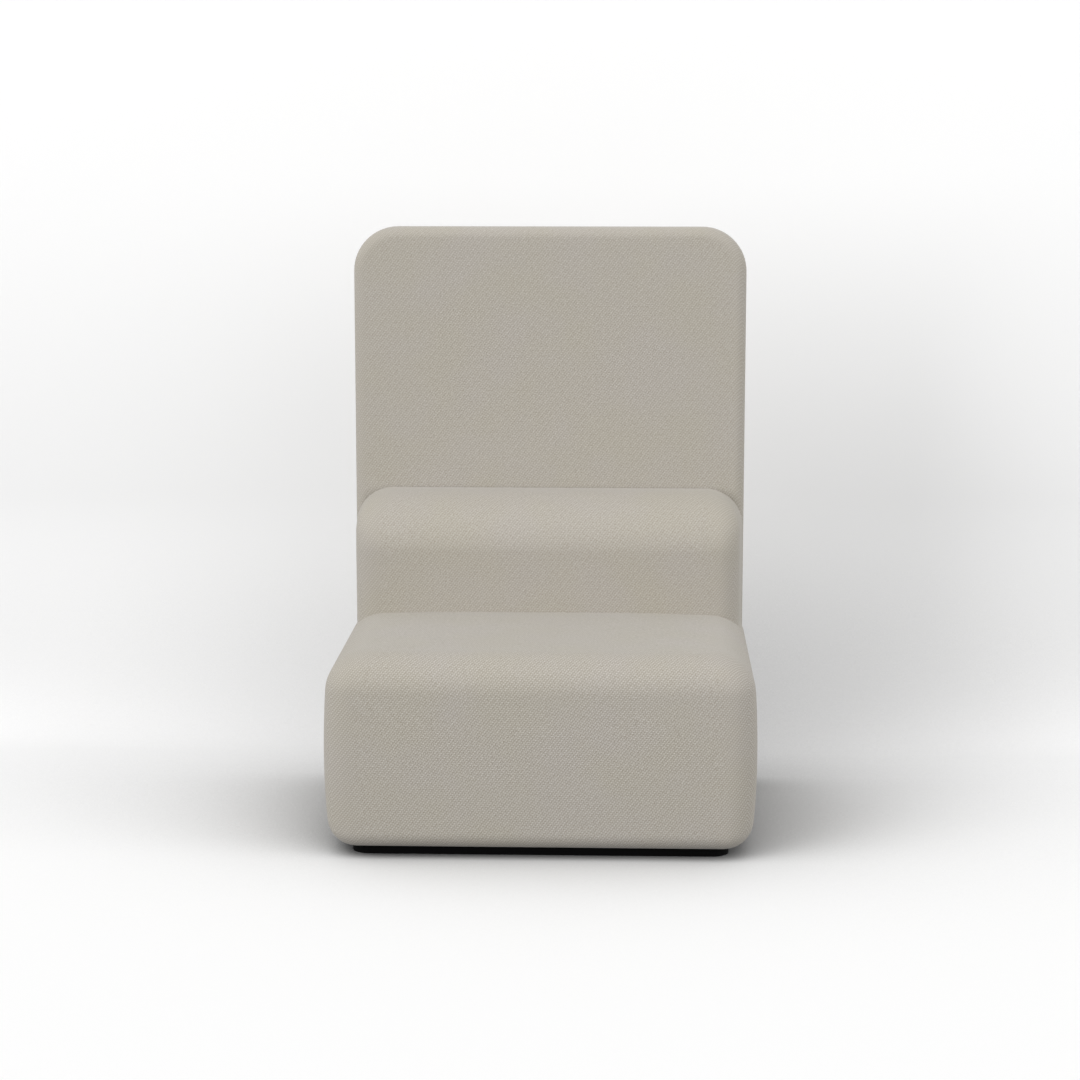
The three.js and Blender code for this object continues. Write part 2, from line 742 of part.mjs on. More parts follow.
add('low_back_board', 'plywood', cut(
  lowBackBoardForm(0),
  ...lowBackBoltPlaces.map(([x, z]) => boltHole(
    x, z, boardRear - lowBackBoltBite - fit, boardRear + cutOverrun, shankHole,
  )),
));
add('low_back_foam', 'foam', cut(
  lowBackBlock(foamLoose, coarse),
  seatBlock(-fit - foamLoose, fine),
  lowBackBoardForm(fit),
));
add('low_back_cover', 'fabric', cut(
  cut(lowBackBlock(0, fine), seatBlock(-fit, fine)),
  cut(lowBackBlock(coverThickness, coarse), seatBlock(-fit - coverThickness, fine)),
  box(
    -lowBackHalf + rearFlap, lowBackHalf - rearFlap, boardRear, seatRear + cutOverrun,
    seatHeight + rearFlap, lowBackHeight - rearFlap,
  ),
));

// High panel: frame, felt infill, foam and cover
add('panel_top_rail', 'plywood', cut(
  facing(
    roundedShape(
      panelFrameHalf, topRailBottom, panelFrameTop, 0, panelTopRadius - panelFrameInset,
    ),
    panelFrameFront, panelFrameRear,
  ),
  facing(
    roundedShape(
      panelBayHalf - stileWidth, topRailBottom - topRailArch, topRailBottom + topRailArch,
      0, topRailArch,
    ),
    panelFrameFront - cutOverrun, panelFrameRear + cutOverrun,
  ),
));
sides.forEach(({ name, sign }) => {
  const outer = sign * panelFrameHalf;
  const inner = sign * (panelFrameHalf - stileWidth);
  add(`panel_${name}_stile`, 'pine', box(
    Math.min(outer, inner), Math.max(outer, inner), panelFrameFront, panelFrameRear,
    panelFrameBottom, topRailBottom - fit,
  ));
});

function panelRail(middle, holes) {
  return cut(
    box(
      -panelBayHalf, panelBayHalf, panelFrameFront, panelFrameRear,
      middle - railWidth / 2, middle + railWidth / 2,
    ),
    ...holes,
  );
}

const seatBoltTip = panelFrameFront + seatBoltBite;
const seatBoltHoles = (height) => boltColumns.map((x) => boltHole(
  x, height, panelFrameFront - cutOverrun, seatBoltTip + fit, shankHole,
));
add('panel_bottom_rail', 'pine', panelRail(lowBoltHeight, seatBoltHoles(lowBoltHeight)));
add('panel_seat_rail', 'pine', panelRail(highBoltHeight, seatBoltHoles(highBoltHeight)));
add('panel_low_back_rail', 'pine', panelRail(
  lowBackBoltHeight,
  boltColumns.map((x) => boltHole(
    x, lowBackBoltHeight, panelFrameFront - cutOverrun, panelFrameRear + cutOverrun, shankHole,
  )),
));
[
  ['panel_lower_infill', highBoltHeight + railWidth / 2, lowBackBoltHeight - railWidth / 2],
  ['panel_upper_infill', lowBackBoltHeight + railWidth / 2, topRailBottom],
].forEach(([name, low, high]) => add(name, 'felt', box(
  -panelBayHalf + fit, panelBayHalf - fit,
  panelMiddle - infillThickness / 2, panelMiddle + infillThickness / 2, low + fit, high - fit,
)));

const panelFoamForm = highPanel(foamLoose, coarse);
const panelFrameSpace = facing(
  roundedShape(
    panelFrameHalf + fit, panelFrameBottom - fit, panelFrameTop + fit,
    0, panelTopRadius - panelFrameInset + fit,
  ),
  panelFrameFront - fit, panelFrameRear + fit,
);
const wholeHeight = [blockUnderside - cutOverrun, chairHeight + cutOverrun];
add('panel_front_foam', 'foam', cut(
  common(panelFoamForm, box(
    -wide, wide, panelFront - cutOverrun, panelMiddle - fit / 2, ...wholeHeight,
  )),
  panelFrameSpace,
  ...[...seatBoltPlaces, ...lowBackBoltPlaces].map(([x, z]) => boltHole(
    x, z, panelFront - cutOverrun, panelMiddle, shankHole,
  )),
));
add('panel_rear_foam', 'foam', cut(
  common(panelFoamForm, box(
    -wide, wide, panelMiddle + fit / 2, panelRear + cutOverrun, ...wholeHeight,
  )),
  panelFrameSpace,
  ...lowBackBoltPlaces.map(([x, z]) => boltHole(
    x, z, panelMiddle, panelFrameRear + fit + washerThickness + boltHeadHeight + fit,
    washerRadius + boltPocketClearance,
  )),
));
add('panel_cover', 'fabric', cut(
  highPanel(0, fine),
  highPanel(coverThickness, coarse),
  box(
    -panelFrameHalf + underFlap, panelFrameHalf - underFlap, panelFront + panelFlap,
    panelRear - panelFlap, blockUnderside - cutOverrun, blockUnderside + foamLoose,
  ),
  ...[...seatBoltPlaces, ...lowBackBoltPlaces].map(([x, z]) => boltHole(
    x, z, panelFront - cutOverrun, panelFront + panelEdgeRadius, shankHole,
  )),
));

// Bolts: a socket head, its washer and a shank that points along +Y
function bolt(length) {
  const seat = boltHeadHeight + washerThickness;
  return new THREE.LatheGeometry([
    [0, boltSocketDepth],
    [boltSocketRadius, boltSocketDepth],
    [boltSocketRadius, 0],
    [boltHeadRadius, 0],
    [boltHeadRadius, boltHeadHeight],
    [washerRadius, boltHeadHeight],
    [washerRadius, seat],
    [boltRadius, seat],
    [boltRadius, seat + length - boltTip],
    [boltRadius - boltTip, seat + length],
    [0, seat + length],
  ].map(([radius, along]) => new THREE.Vector2(radius, along)), boltStepCount).translate(0, -seat, 0);
}

const seatBoltSeat = frameRear - frameBoard - fit;
seatBoltPlaces.forEach(([x, z]) => {
  const height = z === lowBoltHeight ? 'low' : 'high';
  const side = x < 0 ? 'left' : 'right';
  const mesh = add(`seat_bolt_${height}_${side}`, 'steel', bolt(seatBoltTip - seatBoltSeat));
  mesh.position.set(x, seatBoltSeat, z);
});
const lowBackBoltSeat = panelFrameRear + fit;
lowBackBoltPlaces.forEach(([x, z]) => {
  const length = lowBackBoltSeat - (boardRear - lowBackBoltBite);
  const mesh = add(`low_back_bolt_${x < 0 ? 'left' : 'right'}`, 'steel', bolt(length));
  mesh.position.set(x, lowBackBoltSeat, z);
  mesh.rotation.z = Math.PI;
});

export default chair;
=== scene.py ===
"""Upholstered lounge chair with a low back and a tall acoustic panel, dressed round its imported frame.

Lengths are metres, +Z is up and the chair faces -Y. A field whose name ends in _mm is in millimetres.
"""

import logging
import math
from dataclasses import dataclass, field
from enum import Enum
from typing import ClassVar

import bpy
import numpy as np
from mathutils import Matrix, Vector
from mathutils.bvhtree import BVHTree


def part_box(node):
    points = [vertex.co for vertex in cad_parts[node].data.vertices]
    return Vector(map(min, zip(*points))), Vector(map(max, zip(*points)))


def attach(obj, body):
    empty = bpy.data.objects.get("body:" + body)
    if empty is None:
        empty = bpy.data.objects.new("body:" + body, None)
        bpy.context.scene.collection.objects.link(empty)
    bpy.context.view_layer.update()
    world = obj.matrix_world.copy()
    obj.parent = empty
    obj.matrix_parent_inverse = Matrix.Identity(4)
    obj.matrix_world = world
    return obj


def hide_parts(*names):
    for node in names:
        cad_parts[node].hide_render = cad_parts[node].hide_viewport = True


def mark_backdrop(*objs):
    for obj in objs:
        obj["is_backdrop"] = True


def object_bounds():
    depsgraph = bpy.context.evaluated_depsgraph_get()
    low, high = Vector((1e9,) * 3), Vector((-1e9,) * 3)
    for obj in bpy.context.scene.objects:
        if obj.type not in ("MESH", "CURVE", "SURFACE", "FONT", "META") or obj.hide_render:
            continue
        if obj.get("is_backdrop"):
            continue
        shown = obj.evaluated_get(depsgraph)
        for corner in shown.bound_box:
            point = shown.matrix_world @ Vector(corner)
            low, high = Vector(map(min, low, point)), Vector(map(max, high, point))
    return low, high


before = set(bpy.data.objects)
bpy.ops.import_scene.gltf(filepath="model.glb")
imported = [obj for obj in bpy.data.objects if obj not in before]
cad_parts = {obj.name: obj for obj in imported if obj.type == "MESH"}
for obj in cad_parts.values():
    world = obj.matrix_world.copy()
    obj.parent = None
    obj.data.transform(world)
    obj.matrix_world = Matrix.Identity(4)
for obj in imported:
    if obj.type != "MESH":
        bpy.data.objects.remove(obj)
cad_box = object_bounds()
log = logging.getLogger("lounge_chair")

MM = 0.001
TINY = 1e-9
CAP_SHARE = 0.97  # how much of the way to a face's middle its last ring has drawn in
BODY = "root"
CLOTH_FRONT = "cloth_front"
CLOTH_SIDE = "cloth_side"

Piece = bpy.types.Object
Socket = bpy.types.NodeSocket
Sockets = dict[str | int, Socket | float | tuple | str]
Span = tuple[float, float]


def linear(colour: str) -> tuple[float, float, float, float]:
    """Turns an sRGB hex colour into linear light.

    Args:
        colour: Six hex digits after a hash.

    Returns:
        Red, green, blue and alpha, as a colour socket takes them.
    """
    shares = [int(colour[i:i + 2], 16) / 255 for i in (1, 3, 5)]
    curved = [s / 12.92 if s <= 0.04045 else ((s + 0.055) / 1.055) ** 2.4 for s in shares]
    return (*curved, 1.0)


def set_all(thing: object, **values: object) -> None:
    """Sets attributes of a thing, each by its name."""
    for name, value in values.items():
        setattr(thing, name, value)


class Nodes:
    """What is made of nodes: a finish or the sky."""

    def tree(self) -> bpy.types.NodeTree:
        """Gives the tree that gets the nodes."""
        raise NotImplementedError

    def add(
        self, kind: str, inputs: Sockets | tuple | Socket = (), output: str = "", **settings: object,
    ) -> Socket | None:
        """Adds one node with its settings, constants and links.

        Args:
            kind: The node's type, without its ShaderNode prefix, and its operation or data type.
            inputs: For each input, a socket to link from or a constant to set: in their order, by
                name or number, or alone for the first. A text is a colour in hex.
            output: The output that is wanted, where that isn't the first in use.
            settings: Other attributes of the node.

        Returns:
            That output, or None for a node without outputs.
        """
        kind, _, choice = kind.partition(" ")
        tree = self.tree()
        made = tree.nodes.new(f"ShaderNode{kind}")
        if choice:
            settings["data_type" if kind == "Mix" else "operation"] = choice
        set_all(made, **settings)
        if not isinstance(inputs, dict):
            inputs = dict(enumerate(inputs if isinstance(inputs, tuple) else [inputs]))
        for key, value in inputs.items():
            if isinstance(value, Socket):
                tree.links.new(value, made.inputs[key])
            else:
                made.inputs[key].default_value = linear(value) if isinstance(value, str) else value
        return made.outputs[output] if output else next((o for o in made.outputs if o.enabled), None)

    def place(self, scale: tuple[float, float, float] = (1.0, 1.0, 1.0)) -> Socket:
        """Gives a surface's place on its object, scaled along X, Y and Z."""
        place = self.add("TexCoord", output="Object")
        return self.add("VectorMath MULTIPLY", (place, scale))

    def seen_directly(self) -> Socket:
        """Tells the rays that show a surface, straight or reflected, from those that light others.

        Returns:
            A value of 1 for camera, glossy and transmission rays.
        """
        rays = self.add("LightPath").node.outputs
        seen = rays["Is Camera Ray"]
        for name in ("Is Glossy Ray", "Is Transmission Ray"):
            seen = self.add("Math MAXIMUM", (seen, rays[name]))
        return seen


class Axis(Enum):
    """A direction of the chair's frame, as the number of its coordinate."""

    X = 0
    Y = 1
    Z = 2


@dataclass(frozen=True)
class Finish(Nodes):
    """A surface that makes its node material once and puts it on its pieces.

    Its relief is how strongly the bumps show, and how deep they are in millimetres.
    """

    name: str = "finish"
    relief: ClassVar[Span] = (0.0, 0.0)

    def tree(self) -> bpy.types.NodeTree:
        """Gives the tree of the finish's material."""
        return bpy.data.materials[self.name].node_tree

    def look(self) -> Sockets:
        """Draws the pattern and gives the shader's inputs, and the relief's as Height."""
        raise NotImplementedError

    def surface(self) -> Socket:
        """Covers the surface with its look.

        Returns:
            The shader socket.
        """
        inputs = self.look()
        if "Height" in inputs:
            strength, depth_mm = self.relief
            inputs["Normal"] = self.add("Bump", {
                "Strength": strength, "Distance": depth_mm * MM, "Height": inputs.pop("Height"),
            })
        return self.add("BsdfPrincipled", inputs)

    def material(self) -> bpy.types.Material:
        """Makes the material, or finds it where it has been made.

        Returns:
            The material of this finish.
        """
        found = bpy.data.materials.get(self.name)
        if found:
            return found
        made = bpy.data.materials.new(self.name)
        made.use_nodes = True
        made.node_tree.nodes.clear()
        self.add("OutputMaterial", {"Surface": self.surface()})
        return made

    def wear(self, piece: Piece) -> None:
        """Puts the material on a piece, in place of what it had."""
        piece.data.materials.clear()
        piece.data.materials.append(self.material())


@dataclass(frozen=True)
class Harmonic:
    """One wave of a weave's pattern: its strength, and its turns for each thread.

    It turns by rise for each thread across the diagonals and by up for each weft thread, and lead is
    where it starts, in turns.
    """

    strength: float
    rise: float
    up: float
    lead: float


@dataclass(frozen=True)
class WoolTwill(Finish):
    """Bulky wool-blend twill in a greige melange, pulled tight over foam.

    Four threads make one repeat: a long float, a sunk thread, a short float and a sunk thread. To the
    eye that is pale dots in rising diagonals on a darker ground. The photograph shows threads as
    coarse as these, so nothing is enlarged. A nap is the raised fibre that blurs the threads.
    """

    name: str = "wool_twill"
    relief = (0.6, 0.5)
    warp_mm: float = 3.36
    weft_mm: float = 4.22
    nap_mm: float = 0.0
    ground: str = "#8e8679"
    fleck: str = "#c4c1b9"
    yellowed: str = "#fdfcfa"
    greyed: str = "#fefdff"
    mottle_mm: float = 150.0
    slub_mm: float = 4.2
    slub_share: float = 0.19
    slub_span: Span = (0.3, 0.7)
    mottle_span: Span = (0.35, 0.65)
    roughness: float = 0.94
    sheen: float = 0.2
    harmonics: tuple[Harmonic, ...] = (
        Harmonic(0.88, 0.5, 0.0, -0.08),
        Harmonic(0.17, 0.25, 0.0, 0.0),
        Harmonic(0.45, 0.25, 1.0, 0.0),
        Harmonic(0.47, 0.0, 1.0, 0.0),
        Harmonic(0.40, 0.75, 1.0, -0.13),
        Harmonic(0.18, 0.5, 1.0, 0.15),
    )

    def cloth_place(self) -> Socket:
        """Reads the cloth's own place, in metres: the front piece's, or the side's past its corner.

        Returns:
            A vector socket: along the weft, and up the cloth.
        """
        front, side = (
            self.add("Attribute", output="Vector", attribute_name=name)
            for name in (CLOTH_FRONT, CLOTH_SIDE)
        )
        turned = self.add("SeparateXYZ", front, "Z")
        past = self.add("Math GREATER_THAN", (turned, 0.0))
        return self.add("Mix VECTOR", {0: past, 4: front, 5: side})

    def weave(self, cloth: Socket) -> Socket:
        """Adds up the weave's harmonics.

        Args:
            cloth: The cloth's place.

        Returns:
            A value from about 0 in the sunk threads to 1 on the floats.
        """
        count = (1 / (self.warp_mm * MM), 1 / (self.weft_mm * MM), 0)
        threads = self.add("VectorMath MULTIPLY", (cloth, count))
        warp = self.add("SeparateXYZ", threads, "X")
        weft = warp.node.outputs["Y"]
        across = self.add("Math SUBTRACT", (warp, weft))
        total = 0.5
        span = 2 * sum(wave.strength for wave in self.harmonics)
        for wave in self.harmonics:
            rise, up, lead = (math.tau * turns for turns in (wave.rise, wave.up, wave.lead))
            first = self.add("Math MULTIPLY_ADD", (across, rise, lead))
            angle = self.add("Math MULTIPLY_ADD", (weft, up, first))
            height = self.add("Math COSINE", angle)
            turns = math.hypot(wave.rise / self.warp_mm, (wave.up - wave.rise) / self.weft_mm)
            share = math.exp(-2 * (math.pi * self.nap_mm * turns) ** 2) * wave.strength / span
            total = self.add("Math MULTIPLY_ADD", (height, share, total))
        return total

    def look(self) -> Sockets:
        """Draws the twill on its cloth, with slubs in the yarn and a broad mottle in the dye.

        Returns:
            The shader's inputs.
        """
        cloth = self.cloth_place()
        weave = self.weave(cloth)
        slub = self.add("TexNoise", {
            "Vector": cloth, "Scale": 1 / (self.slub_mm * MM), "Detail": 2.0, "Roughness": 0.7,
        })
        uneven = self.add("MapRange", (slub, *self.slub_span, -self.slub_share, self.slub_share))
        yarn = self.add("Math ADD", (weave, uneven))
        dyed = self.add("Mix RGBA", {0: yarn, 6: self.ground, 7: self.fleck})
        broad = self.add("TexNoise", {
            "Vector": self.place(), "Scale": 1 / (self.mottle_mm * MM), "Detail": 2.0,
            "Roughness": 0.5,
        })
        patch = self.add("MapRange", (broad, *self.mottle_span))
        tint = self.add("Mix RGBA", {0: patch, 6: self.yellowed, 7: self.greyed})
        colour = self.add("Mix RGBA", {0: 1.0, 6: dyed, 7: tint}, blend_type="MULTIPLY")
        return {
            "Height": weave, "Base Color": colour, "Roughness": self.roughness,
            "Specular IOR Level": 0.25, "Sheen Weight": self.sheen, "Sheen Roughness": 0.5,
        }


def brushed_twill() -> WoolTwill:
    """Gives the twill of the back pieces, whose weave the photograph shows softer than the seat's."""
    return WoolTwill("wool_twill_brushed", nap_mm=0.75, slub_share=0.17)


@dataclass(frozen=True)
class BirchPlywood(Finish):
    """Birch plywood, sanded: pale faces with a soft flame, and light and dark plies at the edges."""

    name: str = "birch_plywood"
    relief = (0.2, 0.2)
    thickness_axis: Axis = Axis.Y
    ply_mm: float = 2.8
    ply_blur: float = 0.3
    grain_mm: float = 9.0
    grain_stretch: float = 14.0
    pale: str = "#d9bf93"
    flame: str = "#c4a472"
    end_ply: str = "#a17c4d"
    roughness: float = 0.62

    def look(self) -> Sockets:
        """Draws the face grain, and plies where the surface doesn't face along the thickness.

        Returns:
            The shader's inputs.
        """
        along = 1 / (self.grain_mm * MM)
        grain = self.add("TexNoise", {
            "Vector": self.place((along / self.grain_stretch, along, along)), "Scale": 1.0,
            "Detail": 6.0, "Roughness": 0.6, "Distortion": 0.6,
        })
        face = self.add("Mix RGBA", {0: grain, 6: self.pale, 7: self.flame})
        axis = self.thickness_axis.name
        deep = self.add("SeparateXYZ", self.place(), axis)
        turns = math.tau / (2 * self.ply_mm * MM)
        angle = self.add("Math MULTIPLY", (deep, turns))
        stripe = self.add("Math SINE", angle)
        ply = self.add("MapRange", (stripe, -self.ply_blur, self.ply_blur))
        edge = self.add("Mix RGBA", {0: ply, 6: self.pale, 7: self.end_ply})
        normal = self.add("NewGeometry", output="Normal")
        facing = self.add("SeparateXYZ", normal, axis)
        square = self.add("Math MULTIPLY", (facing, facing))
        flat = self.add("Math GREATER_THAN", (square, 0.5))
        colour = self.add("Mix RGBA", {0: flat, 6: edge, 7: face})
        return {"Height": grain, "Base Color": colour, "Roughness": self.roughness}


@dataclass(frozen=True)
class PlanedPine(Finish):
    """Planed pine: yellow early wood with narrow darker late wood that runs along the piece."""

    name: str = "planed_pine"
    relief = (0.15, 0.2)
    grain_axis: Axis = Axis.X
    ring_mm: float = 7.0
    grain_stretch: float = 22.0
    ring_count: int = 9
    late_from: float = 0.1
    early: str = "#e0c391"
    late: str = "#c08f51"
    roughness: float = 0.68

    def look(self) -> Sockets:
        """Draws year rings that are long along the grain.

        Returns:
            The shader's inputs.
        """
        across = 1 / (self.ring_mm * MM)
        scale = [across, across, across]
        scale[self.grain_axis.value] /= self.grain_stretch
        rings = self.add("TexNoise", {
            "Vector": self.place(tuple(scale)), "Scale": 0.45, "Detail": 3.0, "Roughness": 0.55,
            "Distortion": 0.8,
        })
        turns = self.ring_count * math.tau
        angle = self.add("Math MULTIPLY", (rings, turns))
        wave = self.add("Math SINE", angle)
        late = self.add("MapRange", (wave, self.late_from))
        colour = self.add("Mix RGBA", {0: late, 6: self.early, 7: self.late})
        return {"Height": wave, "Base Color": colour, "Roughness": self.roughness}


@dataclass(frozen=True)
class SprayedLacquer(Finish):
    """Dead matt black lacquer sprayed on sealed plywood: a fine orange peel, and faint scuffs."""

    name: str = "black_lacquer"
    relief = (0.25, 0.1)
    peel_mm: float = 2.2
    coat: str = "#040404"
    scuff: str = "#090808"
    scuff_mm: float = 40.0
    scuff_span: Span = (0.55, 0.8)
    rub_span: Span = (0.3, 0.7)
    rub_roughness: Span = (0.72, 0.84)
    gloss_share: float = 0.08

    def look(self) -> Sockets:
        """Draws the peel in the relief and the scuffs in the colour and gloss.

        Returns:
            The shader's inputs.
        """
        peel = self.add("TexNoise", {
            "Vector": self.place(), "Scale": 1 / (self.peel_mm * MM), "Detail": 2.0,
        })
        rub = self.add("TexNoise", {
            "Vector": self.place((0.3, 1.0, 2.0)), "Scale": 1 / (self.scuff_mm * MM),
            "Detail": 6.0, "Roughness": 0.7,
        })
        worn = self.add("MapRange", (rub, *self.scuff_span))
        rough = self.add("MapRange", (rub, *self.rub_span, *self.rub_roughness))
        colour = self.add("Mix RGBA", {0: worn, 6: self.coat, 7: self.scuff})
        return {
            "Height": peel, "Base Color": colour, "Roughness": rough, "IOR": 1.5,
            "Specular IOR Level": self.gloss_share,
        }


@dataclass(frozen=True)
class ElasticWebbing(Finish):
    """Woven elastic webbing: fine ribs across the strap and cords along it; its two paler marker
    threads are not drawn.
    """

    name: str = "elastic_webbing"
    relief = (0.6, 0.4)
    length_axis: Axis = Axis.Y
    rib_mm: float = 2.4
    cord_mm: float = 3.2
    dark: str = "#2b2826"
    light: str = "#57514b"
    roughness: float = 0.85

    def look(self) -> Sockets:
        """Draws ribs along and across the strap.

        Returns:
            The shader's inputs.
        """
        across = Axis.X if self.length_axis is Axis.Y else Axis.Y
        waves = []
        for axis, pitch in ((self.length_axis, self.rib_mm), (across, self.cord_mm)):
            along = self.add("SeparateXYZ", self.place(), axis.name)
            turns = math.tau / (pitch * MM)
            angle = self.add("Math MULTIPLY", (along, turns))
            waves.append(self.add("Math SINE", angle))
        woven = self.add("Math MULTIPLY", tuple(waves))
        share = self.add("MapRange", (woven, -1.0))
        colour = self.add("Mix RGBA", {0: share, 6: self.dark, 7: self.light})
        return {"Height": share, "Base Color": colour, "Roughness": self.roughness}


@dataclass(frozen=True)
class Speckled(Finish):
    """A surface whose pattern is one fine noise between two tones, over a span of the noise."""

    speck_mm: float = 1.0
    dark: str = "#000000"
    light: str = "#ffffff"
    roughness: float = 0.5
    span: ClassVar[Span] = (0.0, 1.0)
    noise: ClassVar[dict[str, float]] = {}
    gloss: ClassVar[dict[str, float]] = {}

    def look(self) -> Sockets:
        """Draws the specks.

        Returns:
            The shader's inputs.
        """
        speck = self.add("TexNoise", {
            "Vector": self.place(), "Scale": 1 / (self.speck_mm * MM), **self.noise,
        })
        share = self.add("MapRange", (speck, *self.span))
        colour = self.add("Mix RGBA", {0: share, 6: self.dark, 7: self.light})
        return {"Height": speck, "Base Color": colour, "Roughness": self.roughness, **self.gloss}


@dataclass(frozen=True)
class Fibrous(Speckled):
    """Pressed polyester felt or thermally bonded cloth: tangled fibres with paler flecks."""

    name: str = "pressed_felt"
    relief = (0.5, 0.5)
    speck_mm: float = 3.0
    dark: str = "#77777a"
    light: str = "#9a9a98"
    roughness: float = 0.96
    span = (0.35, 0.65)
    noise = {"Detail": 8.0, "Roughness": 0.8, "Distortion": 2.0}


@dataclass(frozen=True)
class MouldedNylon(Speckled):
    """Moulded black nylon: a fine spark-eroded grain that spreads the light."""

    name: str = "moulded_nylon"
    relief = (0.3, 0.1)
    speck_mm: float = 0.8
    dark: str = "#17181a"
    light: str = "#202124"
    roughness: float = 0.48
    noise = {"Detail": 3.0}
    gloss = {"IOR": 1.53}


@dataclass(frozen=True)
class ZincPlatedSteel(Speckled):
    """Zinc-plated steel: a cool bright metal, clouded by its plating."""

    name: str = "zinc_plated_steel"
    speck_mm: float = 5.0
    dark: str = "#c9ccd0"
    light: str = "#a9adb4"
    clouded: Span = (0.25, 0.45)
    noise = {"Detail": 4.0}
    gloss = {"Metallic": 1.0}

    def look(self) -> Sockets:
        """Draws the clouded plating, which is duller where it is clouded.

        Returns:
            The shader's inputs.
        """
        inputs = super().look()
        cloud = (inputs.pop("Height"), *self.span, *self.clouded)
        return {**inputs, "Roughness": self.add("MapRange", cloud)}


def draw_in(distance: float, radius: float) -> float:
    """Says how far a rounded edge has drawn in.

    Args:
        distance: How far the point is from the face that the edge rounds over to.
        radius: The edge's radius.

    Returns:
        The inset, from the radius at that face to zero.
    """
    rest = max(radius - distance, 0.0)
    return radius - math.sqrt(radius ** 2 - rest ** 2)


def rounded_ring(
    level: float, half: float, low: float, high: float, low_radius: float, high_radius: float,
    turns: int = 10, runs: int = 40,
) -> np.ndarray:
    """Draws a level rectangle with rounded corners.

    Args:
        level: Its height.
        half: Half its width.
        low: Its edge towards -Y.
        high: Its edge towards +Y.
        low_radius: The radius of the two corners at low.
        high_radius: The radius of the two corners at high.
        turns: Steps round each corner.
        runs: Steps along each straight stretch.

    Returns:
        Points, anticlockwise from the corner at +X and low.
    """
    right = [
        (half - low_radius, low + low_radius, low_radius),
        (half - high_radius, high - high_radius, high_radius),
    ]
    corners = [*right, *((-x, y, radius) for x, y, radius in reversed(right))]
    arcs = []
    for n, (x, y, radius) in enumerate(corners):
        a = (n - 1 + np.arange(turns + 1) / turns) * math.pi / 2
        arcs.append(np.stack([x + radius * np.cos(a), y + radius * np.sin(a), level + 0 * a], 1))
    shares = np.arange(1, runs)[:, None] / runs
    parts = []
    for arc, after in zip(arcs, arcs[1:] + arcs[:1]):
        parts += [arc, arc[-1] + (after[0] - arc[-1]) * shares]
    return np.vstack(parts)


def add_object(name: str, data: bpy.types.ID) -> Piece:
    """Makes an object and links it to the scene.

    Args:
        name: The object's name.
        data: Its mesh, camera or lamp.

    Returns:
        The object.
    """
    made = bpy.data.objects.new(name, data)
    bpy.context.scene.collection.objects.link(made)
    return made


def mesh_object(name: str, points: list, faces: list[tuple[int, ...]]) -> Piece:
    """Makes a mesh and its object.

    Args:
        name: The object's name.
        points: The mesh's points.
        faces: Its faces, as numbers of points.

    Returns:
        The object, linked to the scene.
    """
    mesh = bpy.data.meshes.new(name)
    mesh.from_pydata(points, [], faces)
    mesh.update()
    return add_object(name, mesh)


def loft(name: str, rings: list[np.ndarray]) -> Piece:
    """Joins rings of points into one closed mesh.

    Args:
        name: The object's name.
        rings: Rings with as many points each, anticlockwise seen from the last.

    Returns:
        The object, linked to the scene.
    """
    count = len(rings[0])
    faces = []
    for r in range(len(rings) - 1):
        for i in range(count):
            a, b = r * count + i, r * count + (i + 1) % count
            faces.append((a, b, b + count, a + count))
    last = (len(rings) - 1) * count
    faces.append(tuple(range(count - 1, -1, -1)))
    faces.append(tuple(range(last, last + count)))
    return mesh_object(name, np.vstack(rings).tolist(), faces)


def apply_modifiers(piece: Piece) -> None:
    """Makes a piece's modifiers part of its mesh.

    Args:
        piece: The piece.
    """
    bpy.context.view_layer.update()
    seen = piece.evaluated_get(bpy.context.evaluated_depsgraph_get())
    made = bpy.data.meshes.new_from_object(seen)
    old = piece.data
    piece.modifiers.clear()
    piece.data = made
    made.name = piece.name
    bpy.data.meshes.remove(old)


def vertex_rows(piece: Piece, what: str = "co") -> np.ndarray:
    """Reads a mesh's points, or what each of them has.

    Args:
        piece: The piece.
        what: Blender's name for it: co for the points, normal for the normals there.

    Returns:
        One row for each point.
    """
    rows = np.empty((len(piece.data.vertices), 3))
    piece.data.vertices.foreach_get(what, rows.ravel())
    return rows


def put_places(piece: Piece, places: np.ndarray) -> None:
    """Moves a mesh's points to new places."""
    piece.data.vertices.foreach_set("co", places.ravel())
    piece.data.update()


def carve(piece: Piece, cutter: Piece) -> None:
    """Cuts a piece by another closed mesh, which is removed afterwards.

    Args:
        piece: The piece to cut.
        cutter: What it is cut by.
    """
    cut = piece.modifiers.new("cut", "BOOLEAN")
    set_all(cut, operation="DIFFERENCE", solver="MANIFOLD", object=cutter)
    apply_modifiers(piece)
    bpy.data.objects.remove(cutter)


